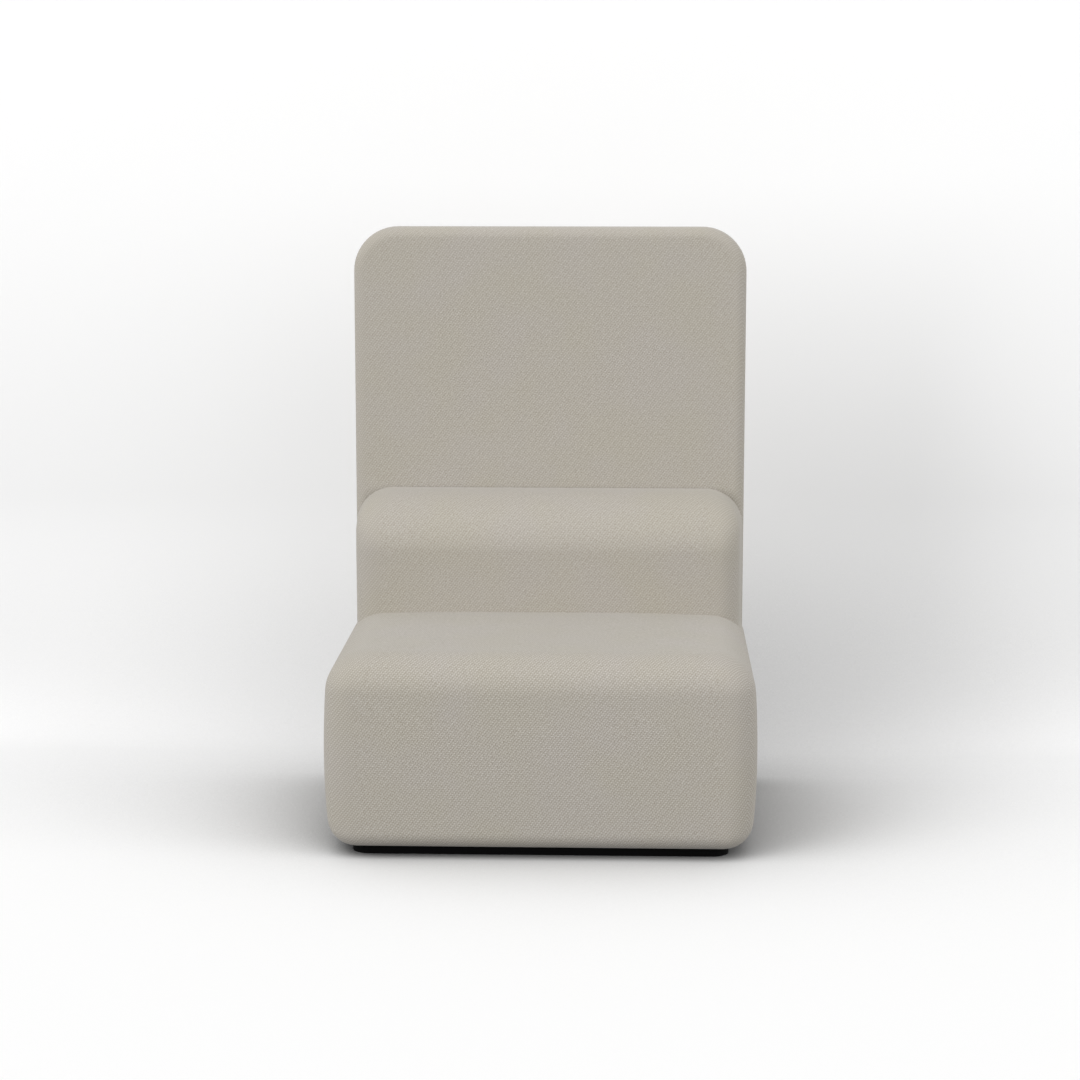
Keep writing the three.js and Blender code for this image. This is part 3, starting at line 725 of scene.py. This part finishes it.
@dataclass
class Padding:
    """How a padded piece is filled: its cloth is blown against a cap by simulation."""

    voxel: float = 8 * MM
    swell: float = 3.2 * MM
    pressure: float = 4.0
    frames: int = 20
    smoothing: int = 6
    proud: float = 1 * MM
    outline_share: float = 0.9

    def remesh(self, piece: Piece) -> None:
        """Gives a piece an even mesh."""
        set_all(piece.modifiers.new("even", "REMESH"), mode="VOXEL", voxel_size=self.voxel)
        apply_modifiers(piece)

    def fill(self, piece: Piece, held: np.ndarray) -> None:
        """Blows the piece up by cloth simulation, no point further than the swell.

        Args:
            piece: The piece, with an even mesh.
            held: For each point, how firmly it is held, from 0 to 1.
        """
        start = vertex_rows(piece)
        group = piece.vertex_groups.new(name="held")
        levels = np.round(held, 1)
        for level in np.unique(levels[levels > 0]):
            group.add(np.flatnonzero(levels == level).tolist(), float(level), "REPLACE")
        cloth = piece.modifiers.new("cloth", "CLOTH")
        set_all(
            cloth.settings, quality=5, mass=0.3, tension_stiffness=15, compression_stiffness=15,
            shear_stiffness=10, bending_stiffness=0.5, use_pressure=True,
            uniform_pressure_force=self.pressure, vertex_group_mass=group.name,
        )
        cloth.settings.effector_weights.gravity = 0
        set_all(cloth.point_cache, frame_start=1, frame_end=self.frames)
        for number in range(1, self.frames + 1):
            bpy.context.scene.frame_set(number)
        apply_modifiers(piece)
        bpy.context.scene.frame_set(1)
        piece.vertex_groups.clear()
        moved = vertex_rows(piece) - start
        length = np.linalg.norm(moved, axis=1)
        reach = np.minimum(1.0, self.swell / np.maximum(length, TINY))
        put_places(piece, start + moved * reach[:, None])
        log.info("%s: cloth moved %.1f mm at most before its cap", piece.name, length.max() / MM)

    def soften(self, piece: Piece, form: Piece) -> None:
        """Evens the surface out, doubles its mesh and brings it back to its outline.

        Smoothing draws a round edge in, so most of the way out to the form is made good.

        Args:
            piece: The filled piece.
            form: The form that the filled cover takes, which is used up.
        """
        set_all(piece.modifiers.new("calm", "SMOOTH"), factor=0.5, iterations=self.smoothing)
        set_all(piece.modifiers.new("finer", "SUBSURF"), levels=1, render_levels=1)
        apply_modifiers(piece)
        places = vertex_rows(piece)
        shape = BVHTree.FromObject(form, bpy.context.evaluated_depsgraph_get())
        nearest = np.array([shape.find_nearest(place)[0] for place in places])
        put_places(piece, places + (nearest - places) * self.outline_share)
        bpy.data.objects.remove(form)


@dataclass
class Upholstery:
    """A padded piece: its form, its filling and the twill that runs over it.

    An edge is kept sharp from sharp_from degrees up.
    """

    name: str = "upholstery"
    replaced: tuple[str, ...] = ()
    fill_share: float = 0.9
    sharp_from: float = 50.0
    padding: Padding = field(default_factory=Padding)
    twill: WoolTwill = field(default_factory=WoolTwill)

    def cloth_up(self, places: np.ndarray, normals: np.ndarray) -> np.ndarray:
        """Measures how far up the front cloth each point lies.

        Args:
            places: The mesh's points.
            normals: The normals there.

        Returns:
            One length for each point.
        """
        raise NotImplementedError

    def dress(self, piece: Piece, corner: Span) -> None:
        """The front cloth runs up the front and over the top. Past the upright corners a side cloth
        takes over, cut from the same length of twill turned over its fold.

        Args:
            piece: The finished mesh.
            corner: X and Y of the right front corner, where both cloths meet.
        """
        places, normals = vertex_rows(piece), vertex_rows(piece, "normal")
        turned = np.abs(normals[:, 0]) - np.hypot(normals[:, 1], normals[:, 2])
        front = np.stack([places[:, 0], self.cloth_up(places, normals), turned], 1)
        side_start = np.sign(places[:, 0]) * corner[0] + corner[1]
        side = np.stack([side_start - places[:, 1], places[:, 2], np.zeros(len(places))], 1)
        for name, values in ((CLOTH_FRONT, front), (CLOTH_SIDE, side)):
            layer = piece.data.attributes.new(name, "FLOAT_VECTOR", "POINT")
            layer.data.foreach_set("vector", values.ravel())
        piece.data.shade_smooth()
        piece.data.set_sharp_from_angle(angle=math.radians(self.sharp_from))
        self.twill.wear(piece)
        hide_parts(*self.replaced)
        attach(piece, BODY)
        log.info("%s: %d faces", piece.name, len(piece.data.polygons))


@dataclass
class SeatBlock(Upholstery):
    """The seat block: one soft form over its frame, open underneath for the dust cover."""

    name: str = "seat_upholstery"
    replaced: tuple[str, ...] = ("seat_cover", "seat_foam", "front_foam", "left_foam", "right_foam")
    side_inset: float = 2.3 * MM
    side_crown: float = 10.8 * MM
    front_crown: float = 2.6 * MM
    top_crown: float = 5 * MM
    top_radius: float = 78 * MM
    side_foot_radius: float = 51 * MM
    front_foot_radius: float = 34 * MM
    corner_radius: float = 63 * MM
    rear_radius: float = 6 * MM
    proud_height_share: float = 0.47
    corner_sharpen_share: float = 0.3
    under_flap: float = 26 * MM
    clearance: float = 0.3 * MM
    held_depth: float = 30 * MM
    held_foot_share: float = 0.4
    cloth_corner: float = 17.6 * MM
    under_normal: float = -0.7
    turn_rings: int = 15
    wall_rings: int = 26
    top_rings: int = 24

    def __post_init__(self) -> None:
        """Reads the block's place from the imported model."""
        low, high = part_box("seat_cover")
        self.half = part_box("panel_cover")[1].x - self.side_inset
        self.front = low.y + self.front_crown
        self.rear = high.y
        self.bottom = low.z
        self.top = high.z - self.top_crown

    def rings(self, inset: float) -> list[np.ndarray]:
        """Lofts the block from its underside to the middle of its crown.

        Args:
            inset: How far the front, the sides and the top are drawn in.

        Returns:
            Rings of points.
        """
        half, front, top = self.half - inset, self.front + inset, self.top - inset
        height = top - self.bottom
        turn = np.linspace(0, math.pi / 2, self.turn_rings)
        foot, over = max(self.side_foot_radius, self.front_foot_radius), self.top_radius
        heights = np.concatenate([
            self.bottom + foot * (1 - np.cos(turn)),
            np.linspace(self.bottom + foot, top - over, self.wall_rings)[1:-1],
            top - over * (1 - np.sin(turn)),
        ])
        found = []
        for z in heights:
            share, proud = (z - self.bottom) / height, self.proud_height_share
            crown = 1 - ((share - proud) / (proud if share <= proud else 1 - proud)) ** 2
            side_low = draw_in(z - self.bottom, self.side_foot_radius)
            front_low = draw_in(z - self.bottom, self.front_foot_radius)
            high = draw_in(top - z, over)
            corner = self.corner_radius - side_low - high * self.corner_sharpen_share
            found.append(rounded_ring(
                z, half - side_low - high + self.side_crown * crown,
                front + front_low + high - self.front_crown * crown, self.rear,
                max(corner, self.rear_radius), self.rear_radius,
            ))
        half_depth = (self.rear - front) / 2
        corner = self.corner_radius - over * self.corner_sharpen_share
        for i in range(1, self.top_rings + 1):
            rise = i / self.top_rings
            share = rise * CAP_SHARE
            rear_radius = self.rear_radius * (1 - share)
            found.append(rounded_ring(
                top + self.top_crown * (1 - (1 - rise) ** 2), half - over - (half - over) * share,
                front + over + (half_depth - over) * share, self.rear - half_depth * share,
                max(corner * (1 - rise), rear_radius), rear_radius,
            ))
        return found

    def cloth_up(self, places: np.ndarray, normals: np.ndarray) -> np.ndarray:
        """Follows the cloth from under the block, up its front and back over its top.

        Args:
            places: The mesh's points.
            normals: The normals there.

        Returns:
            One length for each point.
        """
        y, z = places[:, 1], places[:, 2]
        top, foot = self.top - self.top_radius, self.bottom + self.front_foot_radius
        near_top, near_foot = self.front + self.top_radius, self.front + self.front_foot_radius
        quarter = math.pi / 2
        over = np.arctan2(np.maximum(z - top, 0), np.maximum(near_top - y, TINY))
        under = np.arctan2(np.maximum(foot - z, 0), np.maximum(near_foot - y, TINY))
        up = np.clip(z, foot, top)
        up = up + self.top_radius * np.minimum(over, quarter) * (z > top)
        up = up + np.where((z > top) & (y > near_top), y - near_top, 0)
        up = up - self.front_foot_radius * np.minimum(under, quarter) * (z < foot)
        return up - np.where((normals[:, 2] < self.under_normal) & (y > near_foot), y - near_foot, 0)

    def hollow(self, piece: Piece) -> None:
        """Opens the underside inside the turned edge of the fabric, for the frame and its cloth.

        Args:
            piece: The closed block.
        """
        low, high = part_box("frame_left_panel")
        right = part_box("frame_right_panel")[1]
        front, rear = low.y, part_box("frame_rear_rail")[1].y
        gap, flap = self.clearance, self.under_flap
        spaces = (
            (right.x + gap, front - gap, rear + gap, low.z - gap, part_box("seat_foam")[0].z - gap),
            (right.x - flap, front + flap, rear - flap, self.bottom - flap, high.z - flap),
        )
        for number, (half, y0, y1, z0, z1) in enumerate(spaces):
            ring = [(half, y0), (half, y1), (-half, y1), (-half, y0)]
            levels = [np.array([(x, y, z) for x, y in ring]) for z in (z0, z1)]
            carve(piece, loft(f"space_{number}", levels))

    def build(self) -> None:
        """Builds the block."""
        piece = loft(self.name, self.rings(self.padding.swell))
        self.padding.remesh(piece)
        places = vertex_rows(piece)
        held_foot = self.front_foot_radius * self.held_foot_share
        under = 1 - np.clip((places[:, 2] - self.bottom) / held_foot, 0, 1)
        behind = 1 - np.clip((self.rear - places[:, 1]) / self.held_depth, 0, 1)
        self.padding.fill(piece, np.maximum(under, behind))
        self.padding.soften(piece, loft(f"{self.name}_form", self.rings(-self.padding.proud)))
        self.outer = piece.copy()
        self.outer.data = piece.data.copy()
        bpy.context.scene.collection.objects.link(self.outer)
        self.hollow(piece)
        in_from = self.cloth_corner
        corner = (self.half + self.side_crown / 2 - in_from, self.front + in_from)
        self.dress(piece, corner)


@dataclass
class LowBack(Upholstery):
    """The low back: a bolster whose foot is cut to the seat's crown.

    Its face leans forward from the seat to where its top starts to round over.
    """

    name: str = "low_back_upholstery"
    replaced: tuple[str, ...] = ("low_back_cover", "low_back_foam")
    twill: WoolTwill = field(default_factory=brushed_twill)
    side_inset: float = 3 * MM
    taper: float = 15 * MM
    front_radius: float = 142 * MM
    front_drop: float = 120 * MM
    side_radius: float = 86 * MM
    corner_radius: float = 48 * MM
    rear_radius: float = 6 * MM
    foot_depth: float = 78 * MM
    lean: float = 11 * MM
    held_depth: float = 24 * MM
    held_height: float = 70 * MM
    held_fade: float = 30 * MM
    cloth_corner: float = 14 * MM
    wall_rings: int = 16
    top_rings: int = 24

    def __post_init__(self) -> None:
        """Reads the bolster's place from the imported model."""
        low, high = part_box("low_back_cover")
        self.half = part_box("panel_cover")[1].x - self.side_inset
        self.front, self.rear, self.top = low.y, high.y, high.z
        self.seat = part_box("seat_cover")[1].z
        self.foot = self.seat - self.foot_depth

    def rings(self, inset: float) -> list[np.ndarray]:
        """Lofts the bolster from its foot up.

        Args:
            inset: How far the front, the sides and the top are drawn in.

        Returns:
            Rings of points.
        """
        half, front, top = self.half - inset, self.front + inset, self.top - inset
        spring = top - self.front_drop
        heights = list(np.linspace(self.foot, spring, self.wall_rings))
        angles = [i / self.top_rings * math.pi / 2 for i in range(1, self.top_rings + 1)]
        heights += [top - self.front_drop * (1 - math.sin(a)) for a in angles]
        found = []
        for z in heights:
            back = draw_in((top - z) * self.front_radius / self.front_drop, self.front_radius)
            back -= self.lean * (min(z, spring) - self.seat) / (spring - self.seat)
            depth = self.rear - front - back
            corner = min(self.corner_radius - inset, depth - 2 * self.rear_radius)
            ring = rounded_ring(
                z, half - draw_in(top - z, self.side_radius), front + back, self.rear, corner,
                self.rear_radius,
            )
            ring[:, 0] *= 1 - self.taper / half * (self.rear - ring[:, 1]) / (self.rear - front)
            found.append(ring)
        return found

    def cloth_up(self, places: np.ndarray, normals: np.ndarray) -> np.ndarray:
        """Follows the cloth up the front and back over the top.

        Args:
            places: The mesh's points.
            normals: The normals there; not used.

        Returns:
            One length for each point.
        """
        y, z = places[:, 1], places[:, 2]
        spring = self.top - self.front_radius
        middle = self.front + self.front_radius
        over = np.arctan2(np.maximum(z - spring, 0), np.maximum(middle - y, TINY))
        up = np.minimum(z, spring) + self.front_radius * np.minimum(over, math.pi / 2) * (z > spring)
        return up + np.where((z > spring) & (y > middle), y - middle, 0)

    def build(self, seat: Piece) -> None:
        """Builds the bolster.

        Args:
            seat: The seat block's closed form, which cuts the foot and is used up.
        """
        piece = loft(self.name, self.rings(self.padding.swell))
        self.padding.remesh(piece)
        places = vertex_rows(piece)
        behind = 1 - np.clip((self.rear - places[:, 1]) / self.held_depth, 0, 1)
        rise = places[:, 2] - self.foot - self.held_height
        below = 1 - np.clip(rise / self.held_fade, 0, 1)
        self.padding.fill(piece, np.maximum(behind, below))
        self.padding.soften(piece, loft(f"{self.name}_form", self.rings(-self.padding.proud)))
        carve(piece, seat)
        corner = (self.half - self.taper - self.cloth_corner, self.front + self.cloth_corner)
        self.dress(piece, corner)


@dataclass
class HighPanel(Upholstery):
    """The tall acoustic panel: a thin board under foam and tight twill."""

    name: str = "panel_upholstery"
    replaced: tuple[str, ...] = ("panel_cover", "panel_front_foam", "panel_rear_foam")
    fill_share: float = 1.0
    twill: WoolTwill = field(default_factory=brushed_twill)
    rear_crown: float = 2 * MM
    top_radius: float = 101 * MM
    bottom_radius: float = 20 * MM
    edge_radius: float = 26 * MM
    least_radius: float = 4 * MM
    cloth_corner: float = 7.3 * MM
    corner_pull: float = 400 * MM
    face_rings: int = 16
    edge_rings: int = 12
    corner_steps: int = 16
    edge_steps: int = 50

    def __post_init__(self) -> None:
        """Reads the panel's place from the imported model."""
        low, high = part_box("panel_cover")
        self.half, self.bottom, self.top = high.x, low.z, high.z
        self.front, self.rear = low.y, high.y - self.rear_crown

    def rings(self) -> list[np.ndarray]:
        """Lofts the panel from its rear face to its front face.

        Returns:
            Rings of points.
        """
        edge = self.edge_radius
        rises = [i / self.face_rings for i in range(1, self.face_rings + 1)]
        insets = [edge + (self.half - edge) * rise * CAP_SHARE for rise in rises]
        crowned = [self.rear + self.rear_crown * (1 - (1 - rise) ** 2) for rise in rises]
        angles = [i / self.edge_rings * math.pi / 2 for i in range(self.edge_rings + 1)]
        steps = list(zip(insets, crowned))[::-1]
        steps += [(edge * (1 - math.sin(a)), self.rear - edge * (1 - math.cos(a))) for a in angles]
        steps += [(edge * (1 - math.cos(a)), self.front + edge * (1 - math.sin(a))) for a in angles]
        steps += [(inset, self.front) for inset in insets]
        found = []
        for inset, y in steps:
            ring = rounded_ring(
                y, self.half - inset, self.bottom + inset, self.top - inset,
                max(self.bottom_radius - inset, self.least_radius),
                max(self.top_radius - inset, self.least_radius), self.corner_steps, self.edge_steps,
            )
            found.append(ring[:, [0, 2, 1]])
        return found

    def cloth_up(self, places: np.ndarray, normals: np.ndarray) -> np.ndarray:
        """Follows the cloth up the front, over the top and down the rear.

        It follows the rounded corners over the edge, and hangs straight again further down.

        Args:
            places: The mesh's points.
            normals: The normals there; not used.

        Returns:
            One length for each point.
        """
        x, y, z = places.T
        reach = np.clip(np.abs(x) - (self.half - self.top_radius), 0, self.top_radius)
        drop = self.top_radius - np.sqrt(self.top_radius ** 2 - reach ** 2)
        pulled = np.clip(1 - (self.top - drop - z) / self.corner_pull, 0, 1)
        down = 2 * (self.top - drop * pulled) - z
        return np.where(y > (self.front + self.rear) / 2, down, z) + y - self.front

    def build(self) -> None:
        """Builds the panel."""
        piece = loft(self.name, self.rings())
        corner = (self.half - self.cloth_corner, self.front + self.cloth_corner)
        self.dress(piece, corner)


@dataclass
class Woodwork:
    """The frames, plinth, webbing and fixings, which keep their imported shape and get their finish."""

    finishes: tuple[tuple[Finish, tuple[str, ...]], ...] = (
        (SprayedLacquer(), ("plinth_",)),
        (BirchPlywood("birch_plywood_side", Axis.X), ("frame_left_panel", "frame_right_panel")),
        (PlanedPine("planed_pine_deep", Axis.Y), ("frame_centre_rail",)),
        (BirchPlywood(), ("frame_", "low_back_board", "panel_top_rail")),
        (
            PlanedPine("planed_pine_upright", Axis.Z),
            ("panel_left_stile", "panel_right_stile", "corner_block_"),
        ),
        (Fibrous(), ("panel_lower_infill", "panel_upper_infill")),
        (PlanedPine(), ("panel_",)),
        (ElasticWebbing("elastic_webbing_long", Axis.Y), ("strap_long_",)),
        (ElasticWebbing("elastic_webbing_cross", Axis.X), ("strap_cross_",)),
        (Fibrous("spunbond_cloth", 1.6, "#131313", "#232323", 0.97), ("dust_cover",)),
        (ZincPlatedSteel(), ("glide_insert_", "seat_bolt_", "low_back_bolt_")),
        (MouldedNylon(), ("glide_",)),
    )

    def dress(self) -> None:
        """Gives every carried-over node the first finish with a start of its name."""
        for name, node in sorted(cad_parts.items()):
            if node.hide_render:
                continue
            chosen = next((f for f, starts in self.finishes if name.startswith(starts)), None)
            if chosen:
                chosen.wear(node)
                log.info("%s: %s", name, chosen.name)


def aimed(azimuth: float, down: float, roll: float = 0.0) -> Matrix:
    """Turns a camera or a lamp towards the chair.

    Args:
        azimuth: Where it stands, in degrees: 0 before the chair, more on the picture's right.
        down: How far it looks down, in degrees.
        roll: Its turn about its own axis, in degrees.

    Returns:
        The rotation.
    """
    turns = ((azimuth, "Z"), (90 - down, "X"), (roll, "Z"))
    about_z, about_x, own = (Matrix.Rotation(math.radians(a), 4, axis) for a, axis in turns)
    return about_z @ about_x @ own


@dataclass
class Camera:
    """The photograph's camera, worked out from the edges of the chair. Its angles are degrees."""

    place: tuple[float, float, float] = (0.1915, -5.6702, 1.5452)
    lens_mm: float = 86.8
    sensor_mm: float = 36.0
    pitch: float = 9.203
    yaw: float = 2.047
    roll: float = 0.014

    def build(self) -> None:
        """Makes the camera and gives it to the scene."""
        data = bpy.data.cameras.new("camera")
        set_all(data, lens=self.lens_mm, sensor_width=self.sensor_mm)
        made = add_object("camera", data)
        made.matrix_world = Matrix.Translation(self.place) @ aimed(self.yaw, self.pitch, self.roll)
        bpy.context.scene.camera = made


@dataclass(frozen=True)
class StudioPaper(Finish):
    """Matt paper of the floor and the backdrop: white to the eye, but dim in what it throws back.

    The shade round the chair is deepened, as deep on each side as the photograph shows it. It leans
    away from the light side, before the chair and on the picture's left. Where the paper bows from
    level to upright it catches more light than elsewhere, and takes a tone that evens that out.
    """

    name: str = "studio_paper"
    colour: str = "#fbfbfb"
    bowed: str = "#f1f1f1"
    upright: str = "#fafafa"
    thrown: str = "#8c8c8c"
    front_shade: str = "#8c8c8c"
    left_shade: str = "#000000"
    right_shade: str = "#8c8c8c"
    rear_left_shade: str = "#7c7c7c"
    rear_right_shade: str = "#000000"
    shade_reach: float = 1.1
    shade_depth: float = 1.35
    light_side: tuple[float, float, float] = (-0.15, -0.5, 0.0)
    side_x: Span = (-0.3, 0.3)
    front_y: Span = (-0.45, -0.2)
    rear_y: Span = (0.2, 0.5)
    one_sided: bool = False

    def shaded(self) -> Socket:
        """Paints the paper with its deepened shade round the chair.

        Returns:
            A colour socket.
        """
        normal = self.add("NewGeometry", output="Normal")
        rise = self.add("SeparateXYZ", normal, "Z")
        tilt = self.add("Math MULTIPLY", (rise, rise))
        rest = self.add("Math SUBTRACT", (1.0, tilt))
        curve = self.add("Math MULTIPLY", (tilt, rest))
        bow = self.add("Math MULTIPLY", (curve, 4.0))  # 1 halfway, and 0 where level or upright
        plain = self.add("Mix RGBA", {0: tilt, 6: self.upright, 7: self.colour})
        paint = self.add("Mix RGBA", {0: bow, 6: plain, 7: self.bowed})
        place = self.add("SeparateXYZ", self.place()).node.outputs
        right, back, rear = (
            self.add("MapRange", (place[axis.name], *span))
            for axis, span in ((Axis.X, self.side_x), (Axis.Y, self.front_y), (Axis.Y, self.rear_y))
        )
        before = self.add("Math SUBTRACT", (1.0, rear))
        lean = self.add("VectorMath SCALE", {0: self.light_side, "Scale": before})
        leaning = self.add("VectorMath ADD", (normal, lean))
        towards = self.add("VectorMath NORMALIZE", leaning)
        open_sky = self.add(
            "AmbientOcclusion", {"Distance": self.shade_reach, "Normal": towards}, "AO", samples=8,
        )
        deepened = (open_sky, self.shade_depth, 1 - self.shade_depth)
        lit = self.add("Math MULTIPLY_ADD", deepened, use_clamp=True)
        beside, behind = (
            self.add("Mix RGBA", {0: right, 6: left_tone, 7: right_tone})
            for left_tone, right_tone in (
                (self.left_shade, self.right_shade), (self.rear_left_shade, self.rear_right_shade),
            )
        )
        past_front = self.add("Mix RGBA", {0: rear, 6: beside, 7: behind})
        around = self.add("Mix RGBA", {0: back, 6: self.front_shade, 7: past_front})
        shade = self.add("Mix RGBA", {0: rise, 6: paint, 7: around})
        return self.add("Mix RGBA", {0: lit, 6: shade, 7: paint})

    def surface(self) -> Socket:
        """Builds plain matt paper, which is clear from behind where it is one-sided.

        Returns:
            The shader socket.
        """
        tones = {0: self.seen_directly(), 6: self.thrown, 7: self.shaded()}
        paper = self.add("BsdfDiffuse", {"Color": self.add("Mix RGBA", tones)})
        if not self.one_sided:
            return paper
        behind = self.add("NewGeometry", output="Backfacing")
        return self.add("MixShader", (behind, paper, self.add("BsdfTransparent")))


@dataclass(frozen=True)
class Sky(Nodes):
    """The sky: white to the camera, at its strength of 1, and weaker in what it gives the chair."""

    name: str = "studio"
    colour: str = "#ffffff"
    strength: float = 0.72

    def tree(self) -> bpy.types.NodeTree:
        """Gives the tree of the world."""
        return bpy.data.worlds[self.name].node_tree

    def build(self) -> None:
        """Makes the world and gives it to the scene."""
        world = bpy.data.worlds.new(self.name)
        world.use_nodes = True
        world.node_tree.nodes.clear()
        light, white = (
            self.add("Background", {"Color": self.colour, "Strength": strength})
            for strength in (self.strength, 1.0)
        )
        mixed = self.add("MixShader", (self.seen_directly(), light, white))
        self.add("OutputWorld", {"Surface": mixed})
        bpy.context.scene.world = world


@dataclass(frozen=True)
class SoftLamp:
    """A softbox far away, which fills a round patch of the sky. Its angles are degrees."""

    name: str
    strength: float
    azimuth: float
    elevation: float
    spread: float

    def build(self) -> None:
        """Adds the lamp."""
        data = bpy.data.lights.new(self.name, "SUN")
        set_all(data, energy=self.strength, angle=math.radians(self.spread))
        add_object(self.name, data).matrix_world = aimed(self.azimuth, self.elevation)


@dataclass
class Studio:
    """A plain pale floor, a sweep of paper behind the chair, and soft light.

    The sweep starts at its lift above the floor.
    """

    floor_half: float = 12.0
    backdrop_y: float = 1.15
    backdrop_height: float = 6.0
    sweep_radius: float = 0.55
    sweep_steps: int = 24
    lift: float = 0.5 * MM
    sky: Sky = Sky()
    lamps: tuple[SoftLamp, ...] = (
        SoftLamp("left_softbox", 1.22, -50.0, 12.0, 40.0),
        SoftLamp("right_softbox", 0.31, 30.0, 12.0, 40.0),
        SoftLamp("far_right_softbox", 0.94, 70.0, 12.0, 40.0),
        SoftLamp("left_overhead", 0.70, -55.0, 40.0, 45.0),
    )

    def paper(self, name: str, profile: list[Span], finish: StudioPaper) -> Piece:
        """Rolls out a sheet of paper along a profile seen from the side.

        Args:
            name: The sheet's name.
            profile: The sheet's line, as points of Y and Z, from the front to the back.
            finish: The paper.

        Returns:
            The sheet.
        """
        points = [(x, y, z) for y, z in profile for x in (-self.floor_half, self.floor_half)]
        faces = [(2 * i, 2 * i + 1, 2 * i + 3, 2 * i + 2) for i in range(len(profile) - 1)]
        made = mesh_object(name, points, faces)
        made.data.shade_smooth()
        finish.wear(made)
        return made

    def build(self) -> None:
        """Builds the floor, the backdrop, the sky and the lamps.

        The backdrop only catches the chair's shade: it keeps no light from the chair, and throws
        none on it.
        """
        bpy.context.scene.view_settings.view_transform = "Standard"
        half = self.floor_half
        floor = self.paper("floor", [(-half, 0.0), (half, 0.0)], StudioPaper())
        radius = self.sweep_radius
        start = self.backdrop_y - radius
        rising = [
            (start + radius * math.sin(a), radius * (1 - math.cos(a)) + self.lift)
            for a in np.linspace(0, math.pi / 2, self.sweep_steps + 1)
        ]
        backdrop = self.paper(
            "backdrop", [*rising, (self.backdrop_y, self.backdrop_height)],
            StudioPaper("backdrop_paper", one_sided=True),
        )
        set_all(
            backdrop, visible_diffuse=False, visible_glossy=False, visible_shadow=False,
            visible_transmission=False,
        )
        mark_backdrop(floor, backdrop)
        for light in (self.sky, *self.lamps):
            light.build()


def main() -> None:
    """Builds the camera, the upholstery, the woodwork's finishes and the studio."""
    logging.basicConfig(level=logging.INFO, format="%(message)s")
    Camera().build()
    seat = SeatBlock()
    seat.build()
    LowBack().build(seat.outer)
    HighPanel().build()
    Woodwork().dress()
    Studio().build()
    bpy.context.view_layer.update()
    sizes = {"cad": cad_box, "visual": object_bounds()}
    {key: [list(v) for v in box] for key, box in sizes.items()}


if __name__ == "__main__":
    main()
